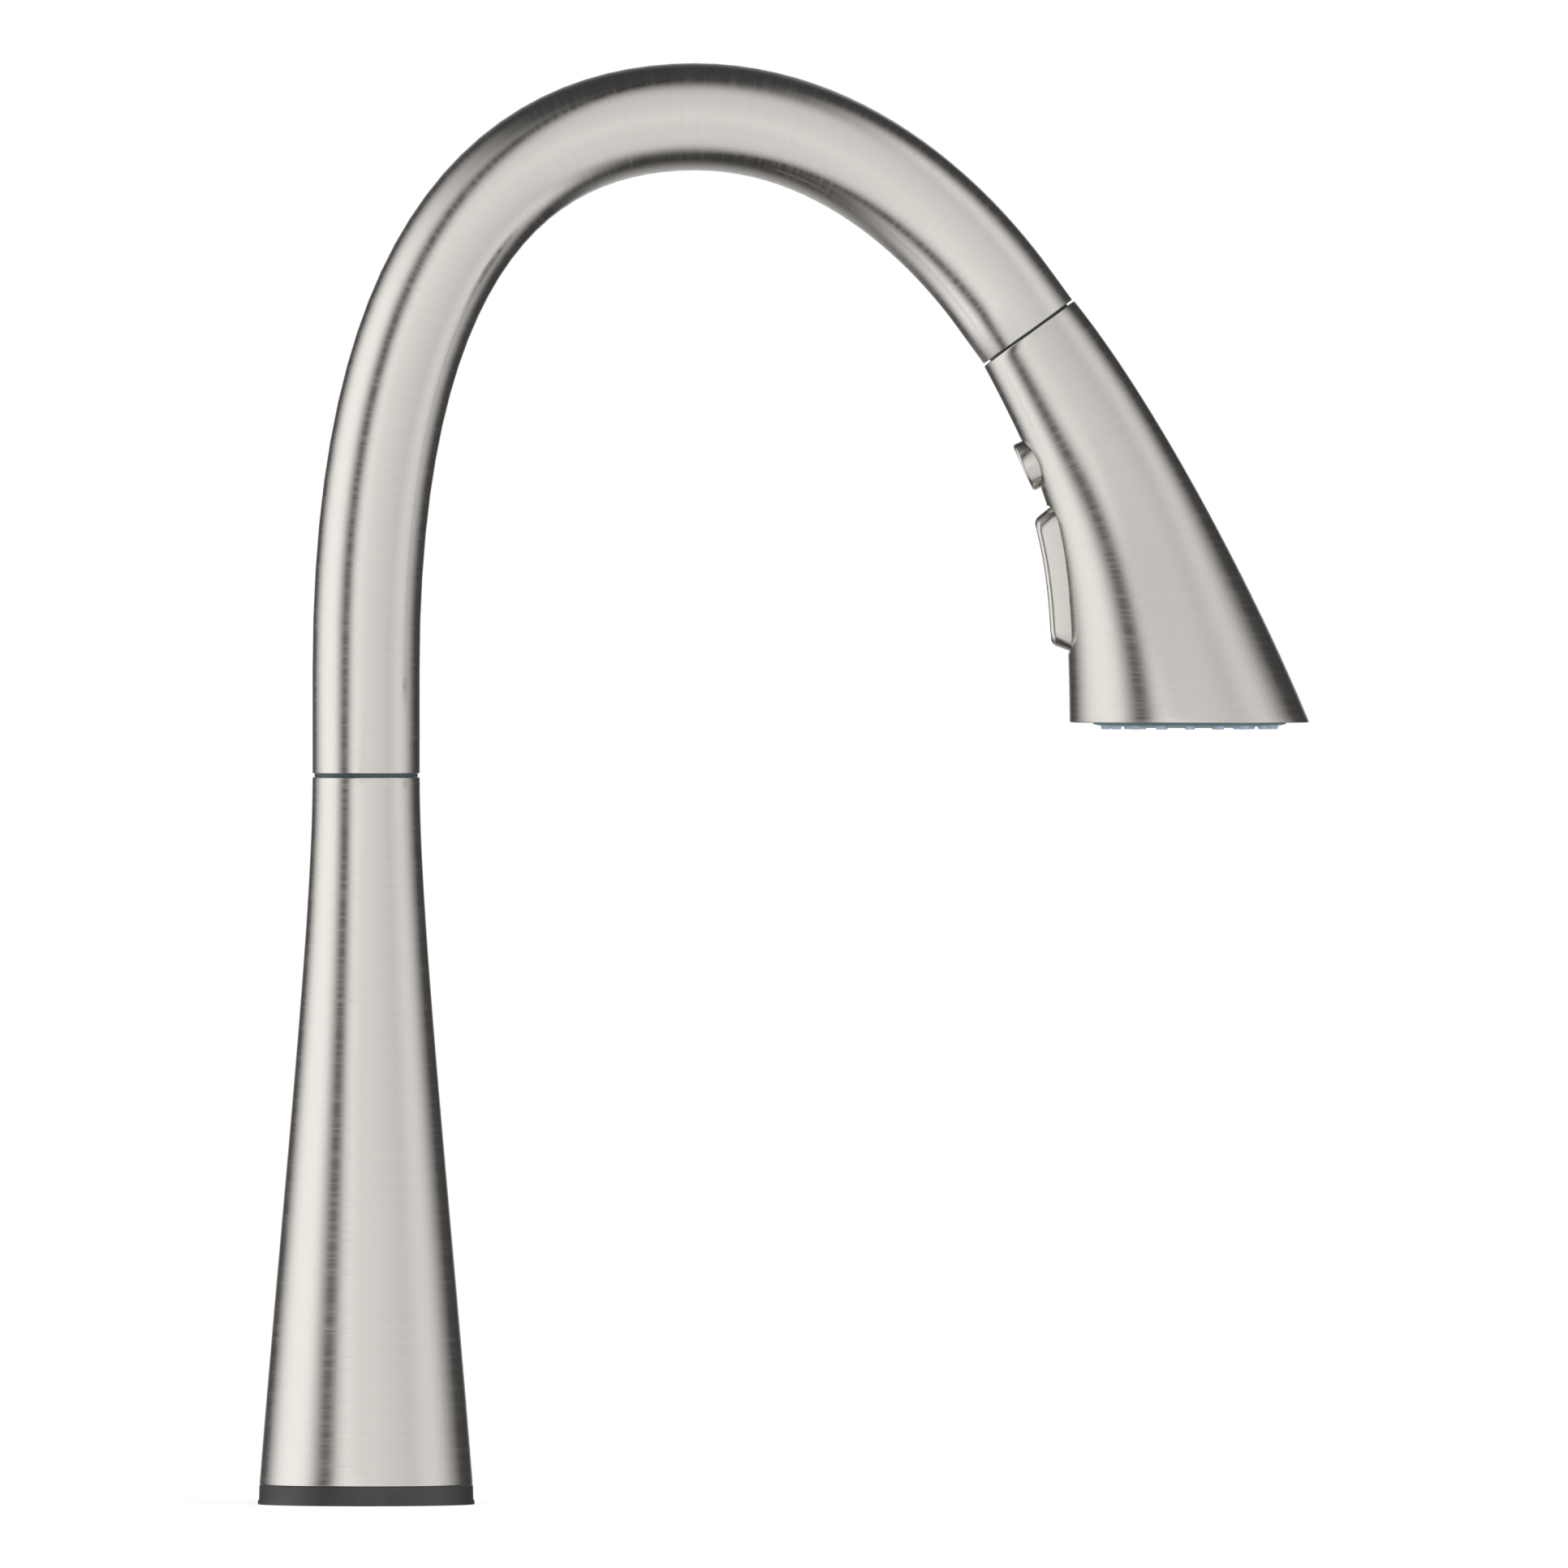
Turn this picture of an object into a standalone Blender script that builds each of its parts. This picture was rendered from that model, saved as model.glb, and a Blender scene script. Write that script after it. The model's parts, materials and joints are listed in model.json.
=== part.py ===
"""A pull-down kitchen faucet with a side lever, built as its separate pieces.

Lengths are in millimetres and angles in degrees; a mesh is turned to metres as it is made.
+Z is up, the spout reaches along +X and the lever stands on the +Y side. The origin is the
middle of the base ring's underside, which sits on the deck.
"""

import math

import bmesh
import bpy
from mathutils import Matrix, Vector

MM = 0.001

# Fits
FIT = 0.3                # gap between two pieces that touch
RUN = 0.6                # gap between two round covers that turn past each other
SEAM = 1.0               # open seam between the body and the spout
DOCK_SEAM = 0.5          # open seam between the spout and the spray head

# Body
BODY_HEIGHT = 199.8      # deck to the top of the body
BODY_WALL = 2.2
NECK_RADIUS = 14.76      # body's outside at its top
NECK_EASE = 39.9         # length of the near-upright run below the top
FOOT_RADIUS = 29.36      # body's outside at the base ring
FOOT_EASE = 72.5         # length of the near-straight run above the base ring
FOOT_LEAN = 4.47         # how far that run leans in
RING_HEIGHT = 5.3
RING_FLARE = 0.44        # base ring's outside past the body's foot

# Deck and what clamps it
DECK_THICKNESS = 32.0
SHANK_RADIUS = 16.0
SHANK_BORE = 13.0
SHANK_DROP = 62.0        # shank's end below the deck's top
SHANK_RISE = 14.0        # shank's end inside the body
INSERT_HEIGHT = 10.0
GASKET_INNER = 22.0
GASKET_OUTER = 27.0
GASKET_DEPTH = 1.8
WASHER_RADIUS = 27.0
RUBBER_WASHER = 2.5
STEEL_WASHER = 2.2
NUT_RADIUS = 29.0
NUT_HEIGHT = 7.0
NUT_GAP = 3.0            # nut's top below the steel washer
JACK_RADIUS = 2.5
JACK_CIRCLE = 23.0
JACK_HEAD_RADIUS = 4.2
JACK_HEAD = 3.5
JACK_LENGTH = 20.0

# Valve and lever
VALVE_HEIGHT = 78.0      # lever's axis above the deck
PIVOT_OUT = 9.8          # stem's pivot past the body's surface
CARTRIDGE_RADIUS = 13.5
CASE_WALL = 1.2
CASE_FLOOR = 7.2
DISC = 3.0
CARRIER_LOW = 6.0        # stem carrier's foot below the pivot
CARRIER_HIGH = 2.7
STEM_EYE = 4.6
STEM_RADIUS = 3.2
STEM_TOP = 14.2
STEM_FOOT = 4.8
STEM_PIN = 1.5
VALVE_WALL = 1.7
VALVE_FLOOR = 3.0
VALVE_NOSE = 3.5         # valve body's mouth past the pivot
NUT_MOUTH = 9.3
CARTRIDGE_NUT = 3.2
COVER_WALL = 1.2
COVER_SKIRT = 3.0
COVER_HOLE = 44.0        # half angle of the opening that the lever's boss swings in
HUB_WALL = 1.9
HUB_RIM = 72.0           # half angle that the hub covers
BOSS_RADIUS = 5.0
BOSS_FOOT = 8.5
SCREW_RADIUS = 1.7
SCREW_OUT = 12.5
PLUG_RADIUS = 3.0
PLUG_PROUD = 0.2
LEVER_LENGTH = 78.0      # from the hub's surface to the lever's tip
LEVER_OUT = 11.6         # lever's foot past the pivot
LEVER_LEAN = 5.0
LEVER_HALF_WIDTH = 5.0
LEVER_HALF_DEPTH = 2.8
STUD_RADIUS = 1.6
STUD_LENGTH = 12.0
PORT_RADIUS = 3.2
PORT_COLLAR = 3.9
PORT_LENGTH = 14.0
INLET_SIDE = 7.5         # hot and cold inlets each side of the middle
INLET_OUT = 13.5
OUTLET_OUT = 17.5

# Spout
SPOUT_RADIUS = 14.75
SPOUT_END_RADIUS = 15.05
SPOUT_WALL = 1.5
SPOUT_STRAIGHT = 28.5    # upright run above the seam
ARCH_RISE = 151.9        # from there to the middle of the arch's top
ARCH_REACH = 90.3        # arch's top out from the body's axis
ARCH_FOOT_EASE = 121.5   # lengths of the curve's handles: foot, top and nose
ARCH_BACK_EASE = 45.3
ARCH_FRONT_EASE = 43.4
ARCH_NOSE_EASE = 20.1
DOCK_STRAIGHT = 12.0
DOCK_REACH = 182.0       # middle of the dock seam out from the body's axis
DOCK_DROP = 59.3         # dock seam below the arch's middle line
DOCK_ANGLE = 54.0        # dock's axis below the horizontal
BUSH_WALL = 0.76
SLEEVE_FOOT = 50.0       # sleeve's end below the body's top
SLEEVE_SPIGOT = 25.0     # how far the sleeve goes up the spout
UPPER_BUSH = 13.0
LOWER_BUSH = 10.0
LOWER_BUSH_DROP = 32.0
CLIP = 1.4
GLIDE_RADIUS = 14.05
GLIDE_FLANGE = 0.4

# Hose and dock
HOSE_RADIUS = 6.25
HOSE_ROOM = 1.75         # room round the hose in the swivel sleeve
FERRULE_WALL = 0.9
FERRULE_BACK = 9.0
FERRULE_FRONT = 3.0
HOSE_NUT = 3.6
CHECK_VALVE = 5.0
CHECK_VALVE_PLACE = 0.13 # share of the way down the head
LINER_GAP = 0.5          # between the spout's bore and the dock's liner
LINER_WALL = 1.75
DOCK_BORE = SPOUT_END_RADIUS - SPOUT_WALL - LINER_GAP - LINER_WALL
DOCK_DEPTH = 16.2
COLLAR_BACK = 14.0
COLLAR_FRONT = 7.2
COLLAR_GROOVE = 0.28     # share of the collar's wall that its seal's groove takes
SEAL_ROOM = 0.15
SEAL_DEPTH = 7.1         # collar's seal above the dock seam
CATCH_RING = 1.5
MAGNET = 3.7
MAGNET_BORE = 8.3

# Spray head
HEAD_LIP = 0.25          # head's top past the spout's end
HEAD_TOP_RADIUS = SPOUT_END_RADIUS + HEAD_LIP
HEAD_WALL = 2.0
OUTLET_FORWARD = 44.2    # outlet's middle past the dock seam's
OUTLET_DROP = 107.1      # outlet's rim below the dock seam's middle
OUTLET_HALF_LENGTH = 32.95
OUTLET_HALF_WIDTH = 32.2
FRONT_TOP_ANGLE = -51.2  # directions and lengths of the two side curves' handles
FRONT_TOP_EASE = 38.5
FRONT_FOOT_ANGLE = 112.0
FRONT_FOOT_EASE = 33.1
BACK_TOP_ANGLE = -62.0
BACK_TOP_EASE = 45.1
BACK_FOOT_ANGLE = 90.6
BACK_FOOT_EASE = 46.2
CORE_WALL = 1.5
CORE_END = 0.85          # share of the way down the head
CORE_TOP_ROOM = 0.06     # share of the core's radius that its slope takes at the top
SPOOL_PLACE = 0.5
FACE_RADIUS = 26.5
FACE_PROUD = 1.45
NOZZLE_CIRCLES = ((18, 23.3), (14, 17.0))
NOZZLE_RADIUS = 1.25
NOZZLE_PROUD = 0.6       # nozzle tips past the face
AERATOR_RADIUS = 9.0
AERATOR_HEIGHT = 8.0

# Buttons on the head's back
BUTTON_PLACE = 0.265     # share of the way down the back curve
BUTTON_RADIUS = 6.9
BUTTON_PROUD = 2.65
BUTTON_TILT = 2.1
BUTTON_DEPTH = 4.5
BUTTON_TRAVEL = 2.0
PLUNGER_RADIUS = 2.0
SPRING_RADIUS = 3.6
SPRING_WIRE = 0.4
SPRING_TURNS = 2.5
ROCKER_PLACE = 0.64
ROCKER_HALF_LENGTH = 19.9
ROCKER_HALF_WIDTH = 7.2
ROCKER_PROUD = 4.3
ROCKER_DRAFT = 2.5       # how much shorter the face is than the foot, at each end
ROCKER_SIDE_DRAFT = 1.8
ROCKER_DEPTH = 4.5
ROCKER_END_ROOM = 0.6
ROCKER_PIVOT = 8.0       # pin's depth below the head's surface
ROCKER_LUG = 3.0
ROCKER_PIN = 1.0
EAR = 2.0
CORE_SLOPE_ROOM = 2.0    # the core's side isn't parallel to the back curve

FINISHES = {
    "brushed nickel": ((0.60, 0.58, 0.55), 1.0, 0.33),
    "black zinc": ((0.035, 0.035, 0.034), 0.4, 0.45),
    "black rubber": ((0.02, 0.02, 0.02), 0.0, 0.8),
    "brass": ((0.62, 0.45, 0.20), 1.0, 0.35),
    "steel": ((0.50, 0.50, 0.50), 1.0, 0.35),
    "dark magnet": ((0.08, 0.08, 0.09), 0.8, 0.4),
    "white acetal": ((0.75, 0.75, 0.72), 0.0, 0.45),
    "alumina": ((0.80, 0.80, 0.82), 0.0, 0.15),
    "grey braid": ((0.30, 0.31, 0.32), 0.0, 0.6),
    "teal plastic": ((0.10, 0.21, 0.23), 0.0, 0.4),
    "pale blue silicone": ((0.50, 0.64, 0.78), 0.0, 0.5),
    "index red": ((0.55, 0.04, 0.03), 0.0, 0.4),
}


# ---- Curves -------------------------------------------------------------------------------

def bezier(curve, share):
    a, b, c, d = curve
    left = 1 - share
    return a * left**3 + b * (3 * left**2 * share) + c * (3 * left * share**2) + d * share**3


def bezier_way(curve, share):
    a, b, c, d = curve
    left = 1 - share
    return ((b - a) * left**2 + (c - b) * (2 * left * share) + (d - c) * share**2).normalized()


def heading(degrees):
    """The direction at an angle above +X, in the faucet's middle plane."""
    return Vector((math.cos(math.radians(degrees)), 0, math.sin(math.radians(degrees))))


BODY_CURVE = (
    Vector((NECK_RADIUS, BODY_HEIGHT)),
    Vector((NECK_RADIUS, BODY_HEIGHT - NECK_EASE)),
    Vector((FOOT_RADIUS - FOOT_EASE * math.sin(math.radians(FOOT_LEAN)),
            RING_HEIGHT + FOOT_EASE * math.cos(math.radians(FOOT_LEAN)))),
    Vector((FOOT_RADIUS, RING_HEIGHT)),
)


def body_radius(height):
    """The body's outside radius at a height, found by halving along its curve."""
    low, high = 0.0, 1.0
    for _ in range(40):
        middle = (low + high) / 2
        if bezier(BODY_CURVE, middle).y > height:
            low = middle
        else:
            high = middle
    return bezier(BODY_CURVE, low).x


SPOUT_FOOT = BODY_HEIGHT + SEAM
ARCH_FOOT = Vector((0, 0, SPOUT_FOOT + SPOUT_STRAIGHT))
ARCH_TOP = ARCH_FOOT + Vector((ARCH_REACH, 0, ARCH_RISE))
DOCK = Vector((DOCK_REACH, 0, ARCH_TOP.z - DOCK_DROP))
DOCK_WAY = heading(-DOCK_ANGLE)
ARCH_NOSE = DOCK - DOCK_WAY * DOCK_STRAIGHT
FORWARD = Vector((1, 0, 0))
SIDEWAYS = Vector((0, 1, 0))
UP = Vector((0, 0, 1))
ARCH_CURVES = (
    (ARCH_FOOT, ARCH_FOOT + UP * ARCH_FOOT_EASE, ARCH_TOP - FORWARD * ARCH_BACK_EASE, ARCH_TOP),
    (ARCH_TOP, ARCH_TOP + FORWARD * ARCH_FRONT_EASE, ARCH_NOSE - DOCK_WAY * ARCH_NOSE_EASE, ARCH_NOSE),
)


def spout_stations(foot, end, steps=9):
    """Points and directions up the spout's middle line, from a height to a distance past the dock."""
    stations = [(Vector((0, 0, foot)), UP)]
    for number, curve in enumerate(ARCH_CURVES):
        for step in range(min(number, 1), steps + 1):
            stations.append((bezier(curve, step / steps), bezier_way(curve, step / steps)))
    stations.append((DOCK + DOCK_WAY * end, DOCK_WAY))
    return stations


OUTLET = DOCK + Vector((OUTLET_FORWARD, 0, -OUTLET_DROP))
HEAD_TOP = DOCK + DOCK_WAY * (DOCK_SEAM / 2)
DOCK_FRONT = heading(90 - DOCK_ANGLE)


def side_curve(side, top_angle, top_ease, foot_angle, foot_ease):
    """The head's outline in the middle plane: side is 1 at the front and -1 at the back."""
    top = HEAD_TOP + DOCK_FRONT * (side * HEAD_TOP_RADIUS)
    foot = OUTLET + FORWARD * (side * OUTLET_HALF_LENGTH)
    return top, top + heading(top_angle) * top_ease, foot + heading(foot_angle) * foot_ease, foot


FRONT_CURVE = side_curve(1, FRONT_TOP_ANGLE, FRONT_TOP_EASE, FRONT_FOOT_ANGLE, FRONT_FOOT_EASE)
BACK_CURVE = side_curve(-1, BACK_TOP_ANGLE, BACK_TOP_EASE, BACK_FOOT_ANGLE, BACK_FOOT_EASE)


def head_section(share):
    """Middle, sideways direction and half sizes of the head's cross-section at a share of its length."""
    front, back = bezier(FRONT_CURVE, share), bezier(BACK_CURVE, share)
    half = (front - back).length / 2
    flatness = 1 + (OUTLET_HALF_WIDTH / OUTLET_HALF_LENGTH - 1) * share
    return (front + back) / 2, (front - back).normalized(), half, half * flatness


def back_point(share, along):
    """The point of the back curve at a distance along it from a share, and its direction there."""
    steps = 24
    point = bezier(BACK_CURVE, share)
    for _ in range(steps):
        target, before = abs(along) / steps, point
        low, high = 0.0, 0.1
        for _ in range(24):
            middle = (low + high) / 2
            place = share + math.copysign(middle, along)
            if (bezier(BACK_CURVE, place) - before).length < target:
                low = middle
            else:
                high = middle
        share += math.copysign(low, along)
        point = bezier(BACK_CURVE, share)
    return point, bezier_way(BACK_CURVE, share)


# ---- Meshes -------------------------------------------------------------------------------

def finished(bm, smooth=30):
    """A bmesh made into a closed mesh with its faces pointing out."""
    bmesh.ops.remove_doubles(bm, verts=bm.verts, dist=1e-7)
    bmesh.ops.recalc_face_normals(bm, faces=bm.faces)
    mesh = bpy.data.meshes.new("shape")
    bm.to_mesh(mesh)
    bm.free()
    mesh.shade_smooth()
    mesh.set_sharp_from_angle(angle=math.radians(smooth))
    return mesh


def turned(profile, sides=24):
    """A solid turned about local Z from (radius, height) points given round its section."""
    bm = bmesh.new()
    points = [bm.verts.new((radius * MM, 0, height * MM)) for radius, height in profile]
    ends = list(zip(points, points[1:]))
    if profile[0][0] or profile[-1][0]:
        ends.append((points[-1], points[0]))
    edges = [bm.edges.new(pair) for pair in ends]
    bmesh.ops.spin(bm, geom=points + edges, cent=(0, 0, 0), axis=(0, 0, 1),
                   angle=math.tau, steps=sides, use_merge=True)
    return finished(bm)


def ring(inner, outer, low, high, sides=24):
    return turned([(inner, low), (outer, low), (outer, high), (inner, high)], sides)


def rod(radius, low, high, sides=14):
    return turned([(0, low), (radius, low), (radius, high), (0, high)], sides)


def o_ring(middle, thickness, height, sides=24):
    """A round rubber ring, six-sided in section."""
    steps = [math.tau * step / 6 for step in range(6)]
    return turned([(middle + thickness * math.cos(a), height + thickness * math.sin(a)) for a in steps], sides)


def skinned(rings, looped):
    """A solid through rows of points in millimetres, looped back on itself or closed at its ends."""
    bm = bmesh.new()
    rows = [[bm.verts.new(point * MM) for point in row] for row in rings]
    pairs = list(zip(rows, rows[1:]))
    if looped:
        pairs.append((rows[-1], rows[0]))
    for first, second in pairs:
        for here in range(len(first)):
            there = (here + 1) % len(first)
            bm.faces.new((first[here], first[there], second[there], second[here]))
    if not looped:
        bm.faces.new(rows[0])
        bm.faces.new(rows[-1])
    return finished(bm)


def hoop(middle, across, half_across, half_sideways, sides):
    """Points round an ellipse that stands across one direction and along Y."""
    turns = [math.tau * step / sides for step in range(sides)]
    return [middle + across * (half_across * math.cos(a)) + SIDEWAYS * (half_sideways * math.sin(a))
            for a in turns]


def piped(stations, radii, sides):
    """A solid rod, or with two radii at each station a tube, along points in the middle plane."""
    walls = []
    for wall in range(len(radii[0])):
        walls.append([hoop(point, SIDEWAYS.cross(way), radius[wall], radius[wall], sides)
                      for (point, way), radius in zip(stations, radii)])
    if len(walls) == 1:
        return skinned(walls[0], looped=False)
    return skinned(walls[0] + walls[1][::-1], looped=True)


def head_hoop(share, inset, sides=28):
    middle, across, half_length, half_width = head_section(share)
    return hoop(middle, across, half_length - inset, half_width - inset, sides)


def extruded(outline, half_length):
    """A flat outline in local X and Y, carried both ways along local Z."""
    bm = bmesh.new()
    corners = [bm.verts.new((x * MM, y * MM, -half_length * MM)) for x, y in outline]
    face = bm.faces.new(corners)
    grown = bmesh.ops.extrude_face_region(bm, geom=[face])
    tops = [item for item in grown["geom"] if isinstance(item, bmesh.types.BMVert)]
    bmesh.ops.translate(bm, verts=tops, vec=(0, 0, 2 * half_length * MM))
    return finished(bm)


def coil(radius, wire, low, high, turns, around=10, sides=5):
    """A round wire wound about local Z."""
    rows = []
    for step in range(int(turns * around) + 1):
        angle = math.tau * step / around
        out = Vector((math.cos(angle), math.sin(angle), 0))
        middle = out * radius + UP * (low + (high - low) * step / (turns * around))
        rows.append([middle + out * (wire * math.cos(a)) + UP * (wire * math.sin(a))
                     for a in [math.tau * side / sides for side in range(sides)]])
    return skinned(rows, looped=False)


# ---- Placing ------------------------------------------------------------------------------

def frame_at(origin, along, across=SIDEWAYS):
    """A place whose Z runs along one direction and whose Y lies nearest another."""
    z = Vector(along).normalized()
    y = (Vector(across) - z * Vector(across).dot(z)).normalized()
    place = Matrix((y.cross(z), y, z)).transposed().to_4x4()
    place.translation = Vector(origin) * MM
    return place


def place_of(obj):
    """An object's place in the world, from its own and its parents'."""
    own = obj.matrix_basis.copy()
    return place_of(obj.parent) @ own if obj.parent else own


def body_empty(name, origin, parent=None):
    """An empty on a joint's axis, which carries the pieces of one moving body."""
    empty = bpy.data.objects.new(name, None)
    empty.empty_display_size = 0.02
    bpy.context.scene.collection.objects.link(empty)
    place = Matrix.Translation(Vector(origin) * MM)
    if parent:
        empty.parent = parent
        place = place_of(parent).inverted() @ place
    empty.matrix_basis = place
    return empty


def paint(obj, finish):
    colour, metallic, roughness = FINISHES[finish]
    material = bpy.data.materials.new(f"{obj.name} {finish}")
    material.use_nodes = True
    shader = material.node_tree.nodes["Principled BSDF"]
    shader.inputs["Base Color"].default_value = (*colour, 1)
    shader.inputs["Metallic"].default_value = metallic
    shader.inputs["Roughness"].default_value = roughness
    obj.data.materials.append(material)


def add(name, mesh, body, finish, place=None):
    """A piece of a body. Without a place its mesh is already where it belongs."""
    if place is None:
        place = place_of(body)
        mesh.transform(place.inverted())
    mesh.name = name
    obj = bpy.data.objects.new(name, mesh)
    bpy.context.scene.collection.objects.link(obj)
    obj.parent = body
    obj.matrix_basis = place_of(body).inverted() @ place
    paint(obj, finish)
    return obj


def work(obj, mesh, place=None, operation="DIFFERENCE"):
    """Cut a shape from a piece, or join it on, with a hidden tool."""
    tool = bpy.data.objects.new(f"{obj.name}_{operation.lower()}_{len(obj.modifiers)}", mesh)
    bpy.context.scene.collection.objects.link(tool)
    tool.matrix_basis = place or Matrix.Identity(4)
    tool.hide_render = True
    tool.display_type = "WIRE"
    change = obj.modifiers.new(operation.title(), "BOOLEAN")
    change.operation = operation
    change.solver = "EXACT"
    change.object = tool


# ---- Body and deck ------------------------------------------------------------------------

DECK_PLACE = Matrix.Identity(4)
BODY_FOOT = RING_HEIGHT + FIT
PIVOT = Vector((0, body_radius(VALVE_HEIGHT) + PIVOT_OUT, VALVE_HEIGHT))
VALVE_PLACE = frame_at(PIVOT, SIDEWAYS, UP)
VALVE_RADIUS = CARTRIDGE_RADIUS + FIT + VALVE_WALL
SLEEVE_RADIUS = NECK_RADIUS - BODY_WALL - FIT - BUSH_WALL - FIT
SLEEVE_BORE = HOSE_RADIUS + HOSE_ROOM


def wall_line(low, high, inset, steps):
    """Points up the body's outline, set in from its outside."""
    heights = [low + (high - low) * step / steps for step in range(steps + 1)]
    return [(body_radius(height) - inset, height) for height in heights]


def make_base(root):
    rim = FOOT_RADIUS + RING_FLARE
    bore = SHANK_RADIUS + FIT
    profile = [(bore, 0), (GASKET_INNER, 0), (GASKET_INNER, GASKET_DEPTH + FIT),
               (GASKET_OUTER, GASKET_DEPTH + FIT), (GASKET_OUTER, 0), (rim, 0),
               (rim, 0.8), (FOOT_RADIUS, 1.6), (FOOT_RADIUS, RING_HEIGHT), (bore, RING_HEIGHT)]
    add("base_ring", turned(profile, 36), root, "black zinc", DECK_PLACE)
    gasket = ring(GASKET_INNER + FIT, GASKET_OUTER - FIT, 0, GASKET_DEPTH, 30)
    add("deck_gasket", gasket, root, "black rubber", DECK_PLACE)


def make_body(root):
    outside = wall_line(BODY_FOOT, BODY_HEIGHT, 0, 9)
    inside = wall_line(BODY_FOOT, BODY_HEIGHT, BODY_WALL, 6)
    shell = add("body_shell", turned(outside + inside[::-1], 32), root, "brushed nickel", DECK_PLACE)
    work(shell, rod(VALVE_RADIUS + FIT, -PIVOT.y, VALVE_NOSE, 24), VALVE_PLACE)
    low, high = BODY_FOOT + FIT, BODY_FOOT + FIT + INSERT_HEIGHT
    rim = wall_line(low, high, BODY_WALL + FIT, 2)
    insert = turned([(SHANK_RADIUS + FIT, high), (SHANK_RADIUS + FIT, low), *rim], 24)
    add("base_insert", insert, root, "brass", DECK_PLACE)


def make_swivel_bushes(root):
    top = BODY_HEIGHT - RUN
    for name, high, height in (("upper_swivel_bush", top, UPPER_BUSH),
                               ("lower_swivel_bush", BODY_HEIGHT - LOWER_BUSH_DROP, LOWER_BUSH)):
        rim = wall_line(high - height, high, BODY_WALL + FIT, 2)
        bore = SLEEVE_RADIUS + FIT
        bush = turned([(bore, high), (bore, high - height), *rim], 24)
        add(name, bush, root, "white acetal", DECK_PLACE)


def make_deck_clamp(root):
    shank = [(SHANK_BORE, -SHANK_DROP), (SHANK_RADIUS - 1, -SHANK_DROP), (SHANK_RADIUS, -SHANK_DROP + 1),
             (SHANK_RADIUS, SHANK_RISE - 1), (SHANK_RADIUS - 1, SHANK_RISE), (SHANK_BORE, SHANK_RISE)]
    add("threaded_shank", turned(shank, 24), root, "brass", DECK_PLACE)
    bore = SHANK_RADIUS + FIT
    rubber_low = -DECK_THICKNESS - RUBBER_WASHER
    steel_low = rubber_low - FIT - STEEL_WASHER
    add("deck_rubber_washer", ring(bore, WASHER_RADIUS, rubber_low, -DECK_THICKNESS, 24), root,
        "black rubber", DECK_PLACE)
    add("deck_steel_washer", ring(bore, WASHER_RADIUS, steel_low, rubber_low - FIT, 24), root,
        "steel", DECK_PLACE)
    nut_top = steel_low - NUT_GAP
    nut_low = nut_top - NUT_HEIGHT
    nut = add("mounting_nut", ring(bore, NUT_RADIUS, nut_low, nut_top, 24), root, "brass", DECK_PLACE)
    tip = steel_low - FIT
    for name, side in (("left_jack_screw", -1), ("right_jack_screw", 1)):
        place = Matrix.Translation(Vector((0, side * JACK_CIRCLE, 0)) * MM)
        work(nut, rod(JACK_RADIUS + FIT, nut_low - 1, nut_top + 1), place)
        neck = tip - JACK_LENGTH
        screw = turned([(0, tip), (JACK_RADIUS, tip), (JACK_RADIUS, neck), (JACK_HEAD_RADIUS, neck),
                        (JACK_HEAD_RADIUS, neck - JACK_HEAD), (0, neck - JACK_HEAD)], 12)
        add(name, screw, root, "steel", place)


# ---- Valve --------------------------------------------------------------------------------

CASE_BORE = CARTRIDGE_RADIUS - CASE_WALL
DISC_TOP = -CARRIER_LOW - FIT
FIXED_TOP = DISC_TOP - DISC - FIT
CASE_INSIDE = FIXED_TOP - DISC - FIT
CASE_BACK = CASE_INSIDE - CASE_FLOOR
VALVE_BACK = CASE_BACK - FIT - VALVE_FLOOR
CASE_MOUTH = CARRIER_HIGH + FIT
COVER_INNER = math.hypot(VALVE_RADIUS, VALVE_NOSE) + 0.4
COVER_RADIUS = COVER_INNER + COVER_WALL
HUB_INNER = COVER_RADIUS + RUN
HUB_RADIUS = HUB_INNER + HUB_WALL


def arc(radius, start, end, steps):
    """Points on a ball about the pivot, by their angles from the valve's axis."""
    angles = [math.radians(start + (end - start) * step / steps) for step in range(steps + 1)]
    return [(radius * math.sin(a), radius * math.cos(a)) for a in angles]


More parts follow.
